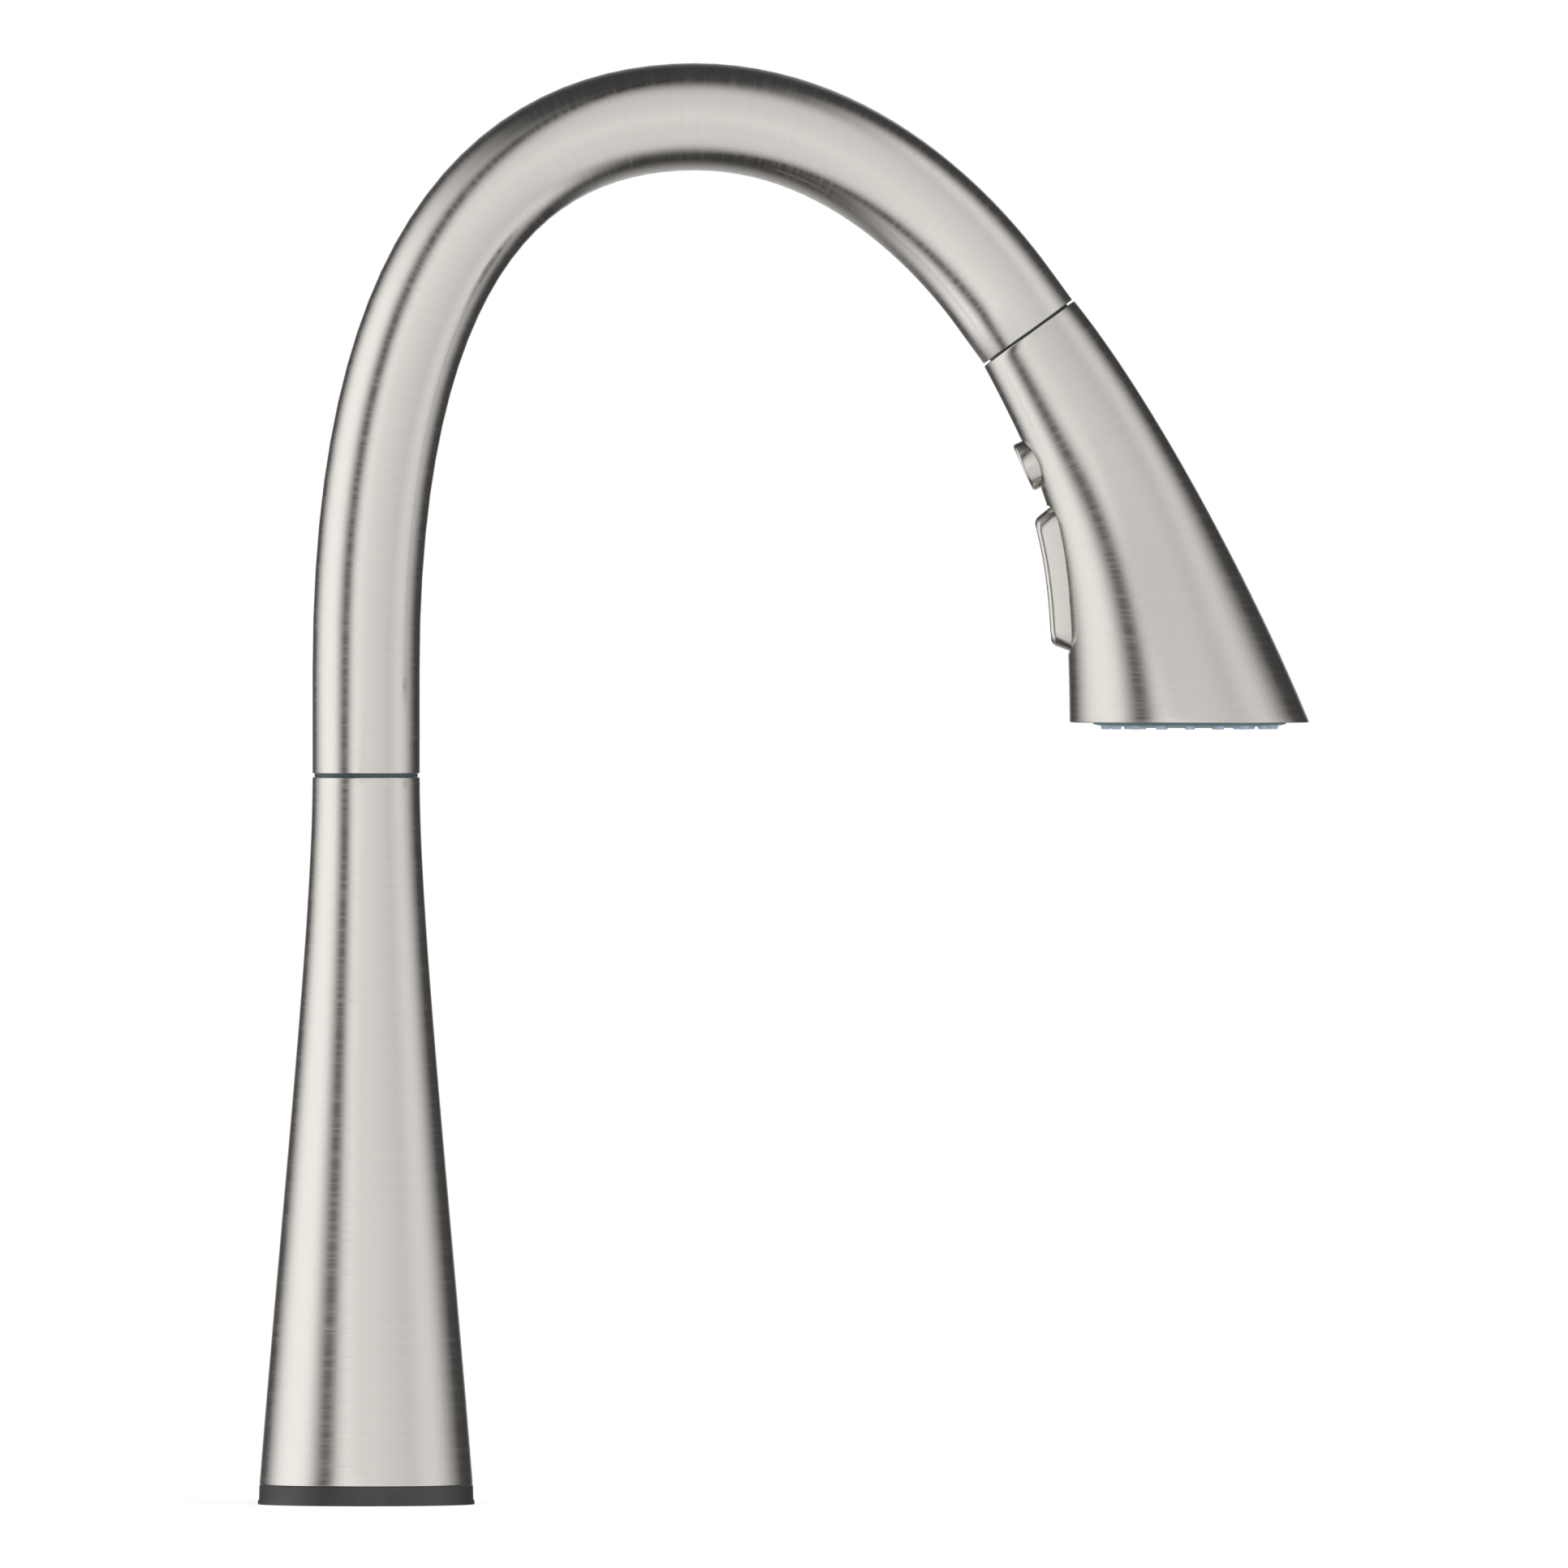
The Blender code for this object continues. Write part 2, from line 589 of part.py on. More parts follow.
def make_valve(root):
    cup = [(0, VALVE_BACK), (VALVE_RADIUS, VALVE_BACK), (VALVE_RADIUS, VALVE_NOSE),
           (CARTRIDGE_RADIUS + FIT, VALVE_NOSE), (CARTRIDGE_RADIUS + FIT, CASE_BACK - FIT), (0, CASE_BACK - FIT)]
    valve = add("valve_body", turned(cup, 24), root, "brass", VALVE_PLACE)
    for name, side, out in (("hot_inlet", -INLET_SIDE, INLET_OUT), ("cold_inlet", INLET_SIDE, INLET_OUT),
                            ("mixed_outlet", 0, OUTLET_OUT)):
        nearest = max(abs(side) - PORT_RADIUS, 0)
        top = -math.sqrt(CARTRIDGE_RADIUS**2 - nearest**2) - FIT
        place = Matrix.Translation(Vector((side, out, VALVE_HEIGHT)) * MM)
        work(valve, rod(PORT_RADIUS + FIT, top - 8, top + 0.5 * FIT, 12), place)
        low = top - PORT_LENGTH
        port = turned([(0, low), (PORT_RADIUS, low), (PORT_RADIUS, low + 3), (PORT_COLLAR, low + 4),
                       (PORT_COLLAR, low + 7), (PORT_RADIUS, low + 7), (PORT_RADIUS, top), (0, top)], 12)
        add(name, port, root, "brass", place)
    case = [(0, CASE_BACK), (CARTRIDGE_RADIUS, CASE_BACK), (CARTRIDGE_RADIUS, CASE_MOUTH),
            (CASE_BORE, CASE_MOUTH), (CASE_BORE, CASE_INSIDE), (0, CASE_INSIDE)]
    add("cartridge_case", turned(case), root, "white acetal", VALVE_PLACE)
    add("fixed_ceramic_disc", rod(CASE_BORE - FIT, FIXED_TOP - DISC, FIXED_TOP, 24), root, "alumina", VALVE_PLACE)
    nut_low = CASE_MOUTH + FIT
    add("cartridge_nut", ring(NUT_MOUTH, CARTRIDGE_RADIUS, nut_low, nut_low + CARTRIDGE_NUT, 24), root,
        "brass", VALVE_PLACE)


def make_valve_covers(root):
    edge = -COVER_SKIRT
    tube = ring(VALVE_RADIUS + FIT, COVER_RADIUS, -PIVOT.y + 2, edge - FIT, 28)
    collar = add("valve_collar", tube, root, "brushed nickel", VALVE_PLACE)
    reach = COVER_RADIUS + 8
    line = wall_line(VALVE_HEIGHT - reach, VALVE_HEIGHT + reach, -FIT, 5)
    work(collar, turned([(0, line[0][1]), *line, (0, line[-1][1])], 32))
    shell = [(COVER_RADIUS, edge), *arc(COVER_RADIUS, 90, COVER_HOLE, 4),
             *arc(COVER_INNER, COVER_HOLE, 90, 4), (COVER_INNER, edge)]
    add("valve_cover", turned(shell, 28), root, "brushed nickel", VALVE_PLACE)


def make_temperature(body):
    add("moving_ceramic_disc", rod(CASE_BORE - 2, DISC_TOP - DISC, DISC_TOP, 24), body, "alumina", VALVE_PLACE)
    carrier = add("stem_carrier", rod(CASE_BORE - FIT, -CARRIER_LOW, CARRIER_HIGH, 24), body,
                  "white acetal", VALVE_PLACE)
    half_slot, half_swing = STEM_EYE + 0.4, STEM_EYE + 2
    slot = [(-half_slot, -half_swing), (half_slot, -half_swing), (half_slot, half_swing), (-half_slot, half_swing)]
    work(carrier, extruded(slot, CARRIER_LOW + 2), VALVE_PLACE)
    pin_place = frame_at(PIVOT, FORWARD)
    half_pin = CASE_BORE - 2 * FIT - 1
    work(carrier, rod(STEM_PIN + FIT, -CASE_BORE - 1, CASE_BORE + 1, 12), pin_place)
    add("stem_pin", rod(STEM_PIN, -half_pin, half_pin, 12), body, "steel", pin_place)


def make_handle(body):
    eye = [(0, -STEM_FOOT), (STEM_EYE * 0.5, -STEM_FOOT), (STEM_EYE, -2), (STEM_EYE, 2),
           (STEM_RADIUS, 4), (STEM_RADIUS, STEM_TOP), (0, STEM_TOP)]
    stem = add("valve_stem", turned(eye, 16), body, "brass", VALVE_PLACE)
    work(stem, rod(STEM_PIN + FIT, -STEM_EYE - 1, STEM_EYE + 1, 12), frame_at(PIVOT, FORWARD))
    boss_angle = math.degrees(math.asin(BOSS_RADIUS / HUB_INNER))
    bore = STEM_RADIUS + FIT
    dome = [*arc(HUB_RADIUS, 0, HUB_RIM, 7), *arc(HUB_INNER, HUB_RIM, boss_angle, 4),
            (BOSS_RADIUS, BOSS_FOOT), (bore, BOSS_FOOT), (bore, STEM_TOP + FIT), (0, STEM_TOP + FIT)]
    hub = add("handle_hub", turned(dome, 30), body, "brushed nickel", VALVE_PLACE)
    down = frame_at(PIVOT + SIDEWAYS * SCREW_OUT, -UP, FORWARD)
    shell_out = math.sqrt(HUB_RADIUS**2 - SCREW_OUT**2)
    work(hub, rod(SCREW_RADIUS + FIT, 2, BOSS_RADIUS + 2, 12), down)
    plug_place = frame_at(PIVOT, SIDEWAYS * SCREW_OUT - UP * shell_out, FORWARD)
    work(hub, rod(PLUG_RADIUS + FIT, HUB_INNER - 2, HUB_RADIUS + 2, 14), plug_place)
    add("handle_set_screw", rod(SCREW_RADIUS, bore, BOSS_RADIUS + 0.2, 12), body, "steel", down)
    add("index_plug", rod(PLUG_RADIUS, HUB_INNER + 0.1, HUB_RADIUS + PLUG_PROUD, 14), body,
        "index red", plug_place)
    make_lever(body, hub)


def make_lever(body, hub):
    """A slim oval blade that screws onto the hub, with its foot shaped to the hub's dome."""
    way = (UP + SIDEWAYS * math.tan(math.radians(LEVER_LEAN))).normalized()
    foot = PIVOT + SIDEWAYS * LEVER_OUT
    rise = math.sqrt(HUB_RADIUS**2 - LEVER_OUT**2)
    low, high = rise - 4, rise + LEVER_LENGTH
    across = way.cross(FORWARD)
    rows = []
    for share in (0, 0.15, 0.35, 0.6, 0.8, 0.93, 0.98, 1):
        width = LEVER_HALF_WIDTH * (0.82 + 0.18 * share) * min(1, 0.55 + math.sqrt(max(1 - share, 0) * 8))
        depth = LEVER_HALF_DEPTH * (1.1 - 0.45 * share) * min(1, 0.55 + math.sqrt(max(1 - share, 0) * 8))
        middle = foot + way * (low + (high - low) * share)
        turns = [math.tau * step / 14 for step in range(14)]
        rows.append([middle + FORWARD * (width * math.cos(a)) + across * (depth * math.sin(a)) for a in turns])
    lever = add("lever", skinned(rows, looped=False), body, "brushed nickel")
    work(lever, ball(HUB_RADIUS + FIT), Matrix.Translation(PIVOT * MM))
    stud_place = frame_at(foot, way, FORWARD)
    stud_low = rise - 3
    work(lever, rod(STUD_RADIUS + FIT, stud_low - 1, stud_low + STUD_LENGTH + FIT, 12), stud_place)
    work(hub, rod(STUD_RADIUS + FIT, stud_low - 2, rise + 3, 12), stud_place)
    add("lever_stud", rod(STUD_RADIUS, stud_low, stud_low + STUD_LENGTH, 12), body, "steel", stud_place)


def ball(radius):
    bm = bmesh.new()
    bmesh.ops.create_uvsphere(bm, u_segments=28, v_segments=16, radius=radius * MM)
    return finished(bm)


# ---- Spout --------------------------------------------------------------------------------

DOCK_PLACE = frame_at(DOCK, DOCK_WAY)


def make_spout(body):
    stations = spout_stations(SPOUT_FOOT, -DOCK_SEAM / 2)
    radii = []
    for number in range(len(stations)):
        share = number / (len(stations) - 1)
        radius = SPOUT_RADIUS + (SPOUT_END_RADIUS - SPOUT_RADIUS) * max(0, share - 0.6) / 0.4
        radii.append((radius, radius - SPOUT_WALL))
    add("spout_tube", piped(stations, radii, 26), body, "brushed nickel")
    add("spray_hose", piped(spout_stations(-SHANK_DROP + FIT, -1.0), [(HOSE_RADIUS,)] * len(stations), 8),
        body, "grey braid")


def make_swivel(body):
    depth = 0.4 * (SLEEVE_RADIUS - SLEEVE_BORE)
    root_radius = SLEEVE_RADIUS - depth
    foot = BODY_HEIGHT - SLEEVE_FOOT
    clip_low = BODY_HEIGHT - LOWER_BUSH_DROP - LOWER_BUSH - FIT - CLIP
    grooves = [(clip_low - FIT, clip_low + CLIP + FIT)]
    seats = [BODY_HEIGHT - LOWER_BUSH_DROP - LOWER_BUSH / 2, BODY_HEIGHT - RUN - UPPER_BUSH / 2]
    thickness = (depth + FIT) / 2 - 0.1
    grooves += [(seat - thickness - 0.2, seat + thickness + 0.2) for seat in seats]
    spigot = SPOUT_RADIUS - SPOUT_WALL - FIT
    sleeve = [(SLEEVE_BORE, foot), (SLEEVE_RADIUS, foot)]
    for low, high in grooves:
        sleeve += [(SLEEVE_RADIUS, low), (root_radius, low), (root_radius, high), (SLEEVE_RADIUS, high)]
    sleeve += [(SLEEVE_RADIUS, SPOUT_FOOT + 0.2), (spigot, SPOUT_FOOT + 0.2),
               (spigot, SPOUT_FOOT + SLEEVE_SPIGOT), (SLEEVE_BORE, SPOUT_FOOT + SLEEVE_SPIGOT)]
    add("swivel_sleeve", turned(sleeve, 24), body, "brass", DECK_PLACE)
    clip = add("swivel_clip", ring(root_radius + 0.15, SLEEVE_RADIUS + 1.5, clip_low, clip_low + CLIP, 24),
               body, "steel", DECK_PLACE)
    gap = [(-2, 0), (2, 0), (2, 20), (-2, 20)]
    work(clip, extruded(gap, CLIP), Matrix.Translation(UP * (clip_low + CLIP / 2) * MM))
    for name, seat in zip(("lower_swivel_o_ring", "upper_swivel_o_ring"), seats):
        add(name, o_ring(root_radius + 0.12 + thickness, thickness, seat), body, "black rubber", DECK_PLACE)
    high = SPOUT_FOOT - FIT
    lip = SLEEVE_RADIUS + FIT
    glide = [(lip, BODY_HEIGHT - FIT), (lip + 0.6, BODY_HEIGHT - FIT), (lip + 0.6, high - GLIDE_FLANGE),
             (GLIDE_RADIUS, high - GLIDE_FLANGE), (GLIDE_RADIUS, high), (lip, high)]
    add("spout_glide_ring", turned(glide, 30), body, "teal plastic", DECK_PLACE)


COLLAR_RADIUS = DOCK_BORE - FIT
FERRULE_RADIUS = HOSE_RADIUS + FIT + FERRULE_WALL
COLLAR_BORE = FERRULE_RADIUS + FIT
CORE_RADIUS = COLLAR_BORE + CORE_WALL


def make_dock(body):
    liner = DOCK_BORE + LINER_WALL
    low = -DOCK_DEPTH
    add("dock_liner", ring(DOCK_BORE, liner, low, -DOCK_SEAM / 2 - 0.1, 26), body, "teal plastic", DOCK_PLACE)
    top = low - FIT
    add("dock_magnet", ring(MAGNET_BORE, liner - 0.35, top - MAGNET, top, 22), body, "dark magnet", DOCK_PLACE)


def make_hose_end(body):
    bore = HOSE_RADIUS + FIT
    add("hose_ferrule", ring(bore, FERRULE_RADIUS, -FERRULE_BACK, FERRULE_FRONT, 22), body, "steel", DOCK_PLACE)
    low = FERRULE_FRONT + FIT
    add("hose_nut", ring(HOSE_RADIUS - 1, FERRULE_RADIUS, low, low + HOSE_NUT, 6), body, "brass", DOCK_PLACE)


# ---- Spray head ---------------------------------------------------------------------------

def make_head(body):
    shares = [step / 9 for step in range(10)]
    outer = [head_hoop(share, 0) for share in shares]
    inner = [head_hoop(share, HEAD_WALL) for share in reversed(shares)]
    shell = add("head_shell", skinned(outer + inner, looped=True), body, "brushed nickel")
    work(shell, rod(BUTTON_RADIUS + FIT, -BUTTON_DEPTH - 2, BUTTON_PROUD + 5, 22), button_place())
    work(shell, rocker_pad([(-ROCKER_DEPTH - 2, -ROCKER_END_ROOM, -FIT), (ROCKER_PROUD + 4, -ROCKER_END_ROOM, -FIT)]))


def make_head_collar(body):
    groove = COLLAR_RADIUS - COLLAR_GROOVE * (COLLAR_RADIUS - COLLAR_BORE)
    seal = (DOCK_BORE - groove) / 2 - SEAL_ROOM
    groove_low, groove_high = -SEAL_DEPTH - 2 * seal, -SEAL_DEPTH + 2 * seal
    flange = HEAD_TOP_RADIUS - HEAD_WALL - FIT
    collar = [(COLLAR_BORE, -COLLAR_BACK), (COLLAR_RADIUS, -COLLAR_BACK), (COLLAR_RADIUS, groove_low),
              (groove, groove_low), (groove, groove_high), (COLLAR_RADIUS, groove_high),
              (COLLAR_RADIUS, 1.0), (flange, 1.0), (flange, COLLAR_FRONT), (COLLAR_BORE, COLLAR_FRONT)]
    add("head_collar", turned(collar, 26), body, "teal plastic", DOCK_PLACE)
    middle = (groove + DOCK_BORE) / 2
    add("collar_o_ring", o_ring(middle, seal, -SEAL_DEPTH), body, "black rubber", DOCK_PLACE)
    catch_low = -COLLAR_BACK - FIT - CATCH_RING
    add("catch_ring", ring(COLLAR_BORE, COLLAR_RADIUS, catch_low, -COLLAR_BACK - FIT, 24), body, "steel", DOCK_PLACE)
    half = CHECK_VALVE / 2
    add("check_valve", ring(3, COLLAR_BORE - FIT - 0.1, -half, half, 18), body, "white acetal",
        frame_at(*core_station(CHECK_VALVE_PLACE)))


def core_station(share):
    """The core's middle and its direction, down the head's middle line."""
    middle, step = head_section(share)[0], 0.01
    return middle, (head_section(share + step)[0] - middle).normalized()


def make_core(body):
    start_way = (bezier(FRONT_CURVE, 0.01) + bezier(BACK_CURVE, 0.01)) / 2 - HEAD_TOP
    speed = start_way.length / 0.01
    first = (COLLAR_FRONT + FIT + CORE_RADIUS * CORE_TOP_ROOM) / speed
    shares = [first + (CORE_END - first) * step / 7 for step in range(8)]
    stations = [core_station(share) for share in shares]
    add("water_core", piped(stations, [(CORE_RADIUS, COLLAR_BORE)] * len(stations), 18), body, "white acetal")
    middle, way = core_station(SPOOL_PLACE)
    add("diverter_spool", turned([(0, -6), (COLLAR_BORE - FIT - 0.2, -6), (COLLAR_BORE - FIT - 0.2, -3),
                                  (4, -2), (4, 2), (COLLAR_BORE - FIT - 0.2, 3),
                                  (COLLAR_BORE - FIT - 0.2, 6), (0, 6)], 16),
        body, "white acetal", frame_at(middle, way))


def make_face(body):
    inset = HEAD_WALL + FIT
    down = Matrix.Translation(OUTLET * MM)
    hole = AERATOR_RADIUS + FIT
    flow = add("flow_plate", skinned([head_hoop(share, inset) for share in (0.88, 0.915)], looped=False),
               body, "white acetal")
    work(flow, rod(4, 0, 25, 16), down)
    mat = add("nozzle_mat", skinned([head_hoop(share, inset) for share in (0.925, 0.952)], looped=False),
              body, "pale blue silicone")
    plate = add("spray_face", skinned([head_hoop(share, inset) for share in (0.962, 1)], looped=False),
                body, "teal plastic")
    work(plate, ring(0.01, FACE_RADIUS, -FACE_PROUD, 1, 30), down, "UNION")
    work(mat, rod(hole, -10, 20, 22), down)
    stem = bezier(BACK_CURVE, 0.952).z - OUTLET.z + 0.7
    work(plate, rod(hole, -10, 20, 22), down)
    for count, circle in NOZZLE_CIRCLES:
        for number in range(count):
            angle = math.tau * (number + 0.5) / count
            out = Vector((math.cos(angle), math.sin(angle), 0)) * circle
            place = Matrix.Translation((OUTLET + out) * MM)
            work(plate, rod(NOZZLE_RADIUS + FIT, -5, 8, 6), place)
            work(mat, rod(NOZZLE_RADIUS, -FACE_PROUD - NOZZLE_PROUD, stem, 8), place, "UNION")
    insert = [(0, -FACE_PROUD + 0.6), (AERATOR_RADIUS - 1.5, -FACE_PROUD + 0.6), (AERATOR_RADIUS - 1, -FACE_PROUD),
              (AERATOR_RADIUS, -FACE_PROUD), (AERATOR_RADIUS, AERATOR_HEIGHT - FACE_PROUD),
              (0, AERATOR_HEIGHT - FACE_PROUD)]
    add("aerator", turned(insert, 22), body, "pale blue silicone", down)


# ---- Buttons ------------------------------------------------------------------------------

def button_place():
    """Origin on the head's surface, Z out of it, X down its back."""
    point, way = bezier(BACK_CURVE, BUTTON_PLACE), bezier_way(BACK_CURVE, BUTTON_PLACE)
    out = Matrix.Rotation(math.radians(-BUTTON_TILT), 3, "Y") @ SIDEWAYS.cross(way)
    return frame_at(point, out, -SIDEWAYS)


def room_behind(share):
    """Depth from the head's back surface to the water core."""
    return head_section(share)[2] - CORE_RADIUS


def make_button(body, head):
    place = button_place()
    deep = room_behind(BUTTON_PLACE) - 0.7
    cap = [(0, -deep + BUTTON_TRAVEL), (PLUNGER_RADIUS, -deep + BUTTON_TRAVEL), (PLUNGER_RADIUS, -BUTTON_DEPTH),
           (BUTTON_RADIUS, -BUTTON_DEPTH), (BUTTON_RADIUS, BUTTON_PROUD - 0.8),
           (BUTTON_RADIUS - 0.7, BUTTON_PROUD), (0, BUTTON_PROUD)]
    add("stream_button", turned(cap, 22), body, "brushed nickel", place)
    low, high = -deep + SPRING_WIRE + 0.2, -BUTTON_DEPTH - SPRING_WIRE - FIT
    add("button_spring", coil(SPRING_RADIUS, SPRING_WIRE, low, high, SPRING_TURNS), head, "steel", place)


def rocker_pad(levels):
    """A rounded oblong pad that follows the head's back. Levels run from its foot to its face:
    a height out of the head's surface, and how far its ends and its sides stand in there."""
    corner = ROCKER_HALF_WIDTH - 2.5
    straight = ROCKER_HALF_LENGTH - corner
    plan = [(straight * share, ROCKER_HALF_WIDTH) for share in (0, 0.5)]
    plan += [(straight + corner * math.sin(math.radians(turn)),
              ROCKER_HALF_WIDTH - corner + corner * math.cos(math.radians(turn))) for turn in (0, 30, 60, 90)]
    plan = [(-along, half_width) for along, half_width in reversed(plan[1:])] + plan
    rows = []
    for along, half_width in plan:
        up_side, down_side = [], []
        for height, end_inset, side_inset in levels:
            reach = along * (1 - end_inset / ROCKER_HALF_LENGTH)
            point, way = back_point(ROCKER_PLACE, reach)
            middle = point + SIDEWAYS.cross(way) * height
            side = SIDEWAYS * (half_width * (1 - side_inset / ROCKER_HALF_WIDTH))
            up_side.append(middle + side)
            down_side.append(middle - side)
        rows.append(up_side + down_side[::-1])
    return skinned(rows, looped=False)


def make_rocker(body, head):
    surface, way = back_point(ROCKER_PLACE, 0)
    out = SIDEWAYS.cross(way)
    pivot = surface - out * ROCKER_PIVOT
    pad = rocker_pad([(-ROCKER_DEPTH, 0, 0), (-0.6, 0, 0),
                      (ROCKER_PROUD - 0.7, ROCKER_DRAFT - 0.7, ROCKER_SIDE_DRAFT - 0.7),
                      (ROCKER_PROUD, ROCKER_DRAFT, ROCKER_SIDE_DRAFT)])
    rocker = add("spray_rocker", pad, body, "brushed nickel")
    lug_foot = ROCKER_PIVOT + ROCKER_PIN + 1.2
    lug = [(-ROCKER_LUG, -ROCKER_DEPTH + 1), (ROCKER_LUG, -ROCKER_DEPTH + 1), (ROCKER_LUG, -lug_foot),
           (-ROCKER_LUG, -lug_foot)]
    along = frame_at(surface, way, out)
    work(rocker, extruded(lug, ROCKER_LUG), along, "UNION")
    pin_place = frame_at(pivot, SIDEWAYS, out)
    ears = ROCKER_LUG + FIT + EAR
    work(rocker, rod(ROCKER_PIN + FIT, -ROCKER_LUG - 1, ROCKER_LUG + 1, 12), pin_place)
    add("rocker_pin", rod(ROCKER_PIN, -ears - 0.5, ears + 0.5, 12), head, "steel", pin_place)
    floor = room_behind(ROCKER_PLACE) - CORE_SLOPE_ROOM
    inside = ROCKER_LUG + FIT
    ear_top, seat = ROCKER_PIVOT - ROCKER_PIN - 1.0, lug_foot + 0.8
    outline = [(-ears, -ear_top), (-ears, -floor), (ears, -floor), (ears, -ear_top),
               (inside, -ear_top), (inside, -seat), (-inside, -seat), (-inside, -ear_top)]
    bracket = add("rocker_bracket", extruded(outline, ROCKER_LUG + 0.5), head, "white acetal", along)
    work(bracket, rod(ROCKER_PIN + FIT, -ears - 1, ears + 1, 12), pin_place)
    return pivot


def build():
    for obj in list(bpy.data.objects):
        bpy.data.objects.remove(obj, do_unlink=True)
    root = body_empty("faucet", (0, 0, 0))
    temperature = body_empty("temperature", PIVOT, root)
    handle = body_empty("handle", PIVOT, temperature)
    spout = body_empty("spout", (0, 0, BODY_HEIGHT), root)
    hose_end = body_empty("hose_end", DOCK, spout)
    head = body_empty("spray_head", DOCK, hose_end)
    button = body_empty("stream_switch", bezier(BACK_CURVE, BUTTON_PLACE), head)
    surface, way = back_point(ROCKER_PLACE, 0)
    rocker = body_empty("spray_switch", surface - SIDEWAYS.cross(way) * ROCKER_PIVOT, head)
    make_base(root)
    make_body(root)
    make_swivel_bushes(root)
    make_deck_clamp(root)
    make_valve(root)
    make_valve_covers(root)
    make_temperature(temperature)
    make_handle(handle)
    make_spout(spout)
    make_swivel(spout)
    make_dock(spout)
    make_hose_end(hose_end)
    make_head(head)
    make_head_collar(head)
    make_core(head)
    make_face(head)
    make_button(button, head)
    make_rocker(rocker, head)


build()
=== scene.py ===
"""The looks of a pull-down kitchen faucet: its finished pieces, their materials, the light and the camera.

Lengths are in millimetres until a mesh is made. +Z is up and the spout reaches along +X.
"""

import json
import math

import bmesh
import bpy
import numpy as np
from mathutils import Matrix, Vector

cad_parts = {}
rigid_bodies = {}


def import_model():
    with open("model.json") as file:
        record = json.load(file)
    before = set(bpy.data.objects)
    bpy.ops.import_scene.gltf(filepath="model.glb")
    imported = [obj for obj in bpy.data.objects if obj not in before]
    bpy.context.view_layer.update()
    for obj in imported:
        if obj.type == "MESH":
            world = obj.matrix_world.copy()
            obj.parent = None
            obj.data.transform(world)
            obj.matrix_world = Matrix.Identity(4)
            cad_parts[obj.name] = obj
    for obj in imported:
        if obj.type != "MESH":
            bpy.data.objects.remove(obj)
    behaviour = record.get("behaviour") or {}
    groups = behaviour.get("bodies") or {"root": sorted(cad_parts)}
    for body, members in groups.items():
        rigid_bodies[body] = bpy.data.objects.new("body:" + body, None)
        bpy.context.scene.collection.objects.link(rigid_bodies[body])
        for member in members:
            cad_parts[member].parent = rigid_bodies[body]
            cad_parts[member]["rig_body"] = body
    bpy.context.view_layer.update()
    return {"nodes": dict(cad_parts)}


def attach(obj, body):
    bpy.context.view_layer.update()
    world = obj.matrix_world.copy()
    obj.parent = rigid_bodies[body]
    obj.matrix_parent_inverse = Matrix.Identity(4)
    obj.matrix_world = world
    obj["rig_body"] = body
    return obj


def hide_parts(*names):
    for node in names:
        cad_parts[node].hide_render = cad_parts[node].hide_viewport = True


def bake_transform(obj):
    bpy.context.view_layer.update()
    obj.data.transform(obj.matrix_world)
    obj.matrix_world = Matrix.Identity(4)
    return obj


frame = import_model()

MM = 0.001
FORWARD = Vector((1, 0, 0))
SIDEWAYS = Vector((0, 1, 0))
UP = Vector((0, 0, 1))
FIT = 0.3                 # gap between pieces that touch

# Body
BODY_HEIGHT = 199.8
BODY_WALL = 2.2
NECK_RADIUS = 14.76
FOOT_RADIUS = 29.36
RING_HEIGHT = 5.3
BODY_CURVE = (Vector((NECK_RADIUS, BODY_HEIGHT)), Vector((NECK_RADIUS, 159.9)),
              Vector((23.71, 77.58)), Vector((FOOT_RADIUS, RING_HEIGHT)))

# Valve and lever
PIVOT = Vector((0, 32.951, 78))
CARTRIDGE_OUT = 15.5      # valve body's outside
COVER_RADIUS = 17.49
HUB_RADIUS = 19.99
HUB_INNER = 18.09
LEVER_OUT = 11.6
LEVER_LENGTH = 78.0
LEVER_LEAN = 5.0

# Spout
SPOUT_FOOT = 200.8
SPOUT_RADIUS = 14.75
SPOUT_END_RADIUS = 15.05
SPOUT_WALL = 1.5
ARCH_FOOT = Vector((0, 0, 229.3))
ARCH_TOP = Vector((90.3, 0, 381.2))
DOCK = Vector((182, 0, 321.9))
DOCK_WAY = Vector((math.cos(math.radians(54)), 0, -math.sin(math.radians(54))))
ARCH_NOSE = DOCK - DOCK_WAY * 12
ARCH_CURVES = (
    (ARCH_FOOT, ARCH_FOOT + UP * 121.5, ARCH_TOP - FORWARD * 45.3, ARCH_TOP),
    (ARCH_TOP, ARCH_TOP + FORWARD * 43.4, ARCH_NOSE - DOCK_WAY * 20.1, ARCH_NOSE),
)
HOSE_RADIUS = 6.25

# Spray head
OUTLET = Vector((226.2, 0, 214.8))
HALF_LENGTH = 32.95
HALF_WIDTH = 32.2
HEAD_TOP_RADIUS = 15.3
HEAD_WALL = 2.0
HEAD_SLIM = 10.0          # keeps the sides straight on from the spout before they flare
FACE_RADIUS = 26.5
FACE_PROUD = 1.45
NOZZLE_CIRCLES = ((18, 23.3), (14, 17.0))

# Buttons, placed by their share of the way down the head's back
BUTTON_SHARE = 0.265
BUTTON_RADIUS = 6.9
BUTTON_DEPTH = 4.5
BUTTON_TILT = 2.1
ROCKER_SHARE = 0.64
ROCKER_HALF_LENGTH = 19.9
ROCKER_HALF_WIDTH = 7.2
ROCKER_DEPTH = 4.5
ROCKER_PROUD = 4.6
ROCKER_CORNER = 4.7


# ---- Curves -------------------------------------------------------------------------------

def bezier(curve, share):
    a, b, c, d = curve
    left = 1 - share
    return a * left**3 + b * (3 * left**2 * share) + c * (3 * left * share**2) + d * share**3


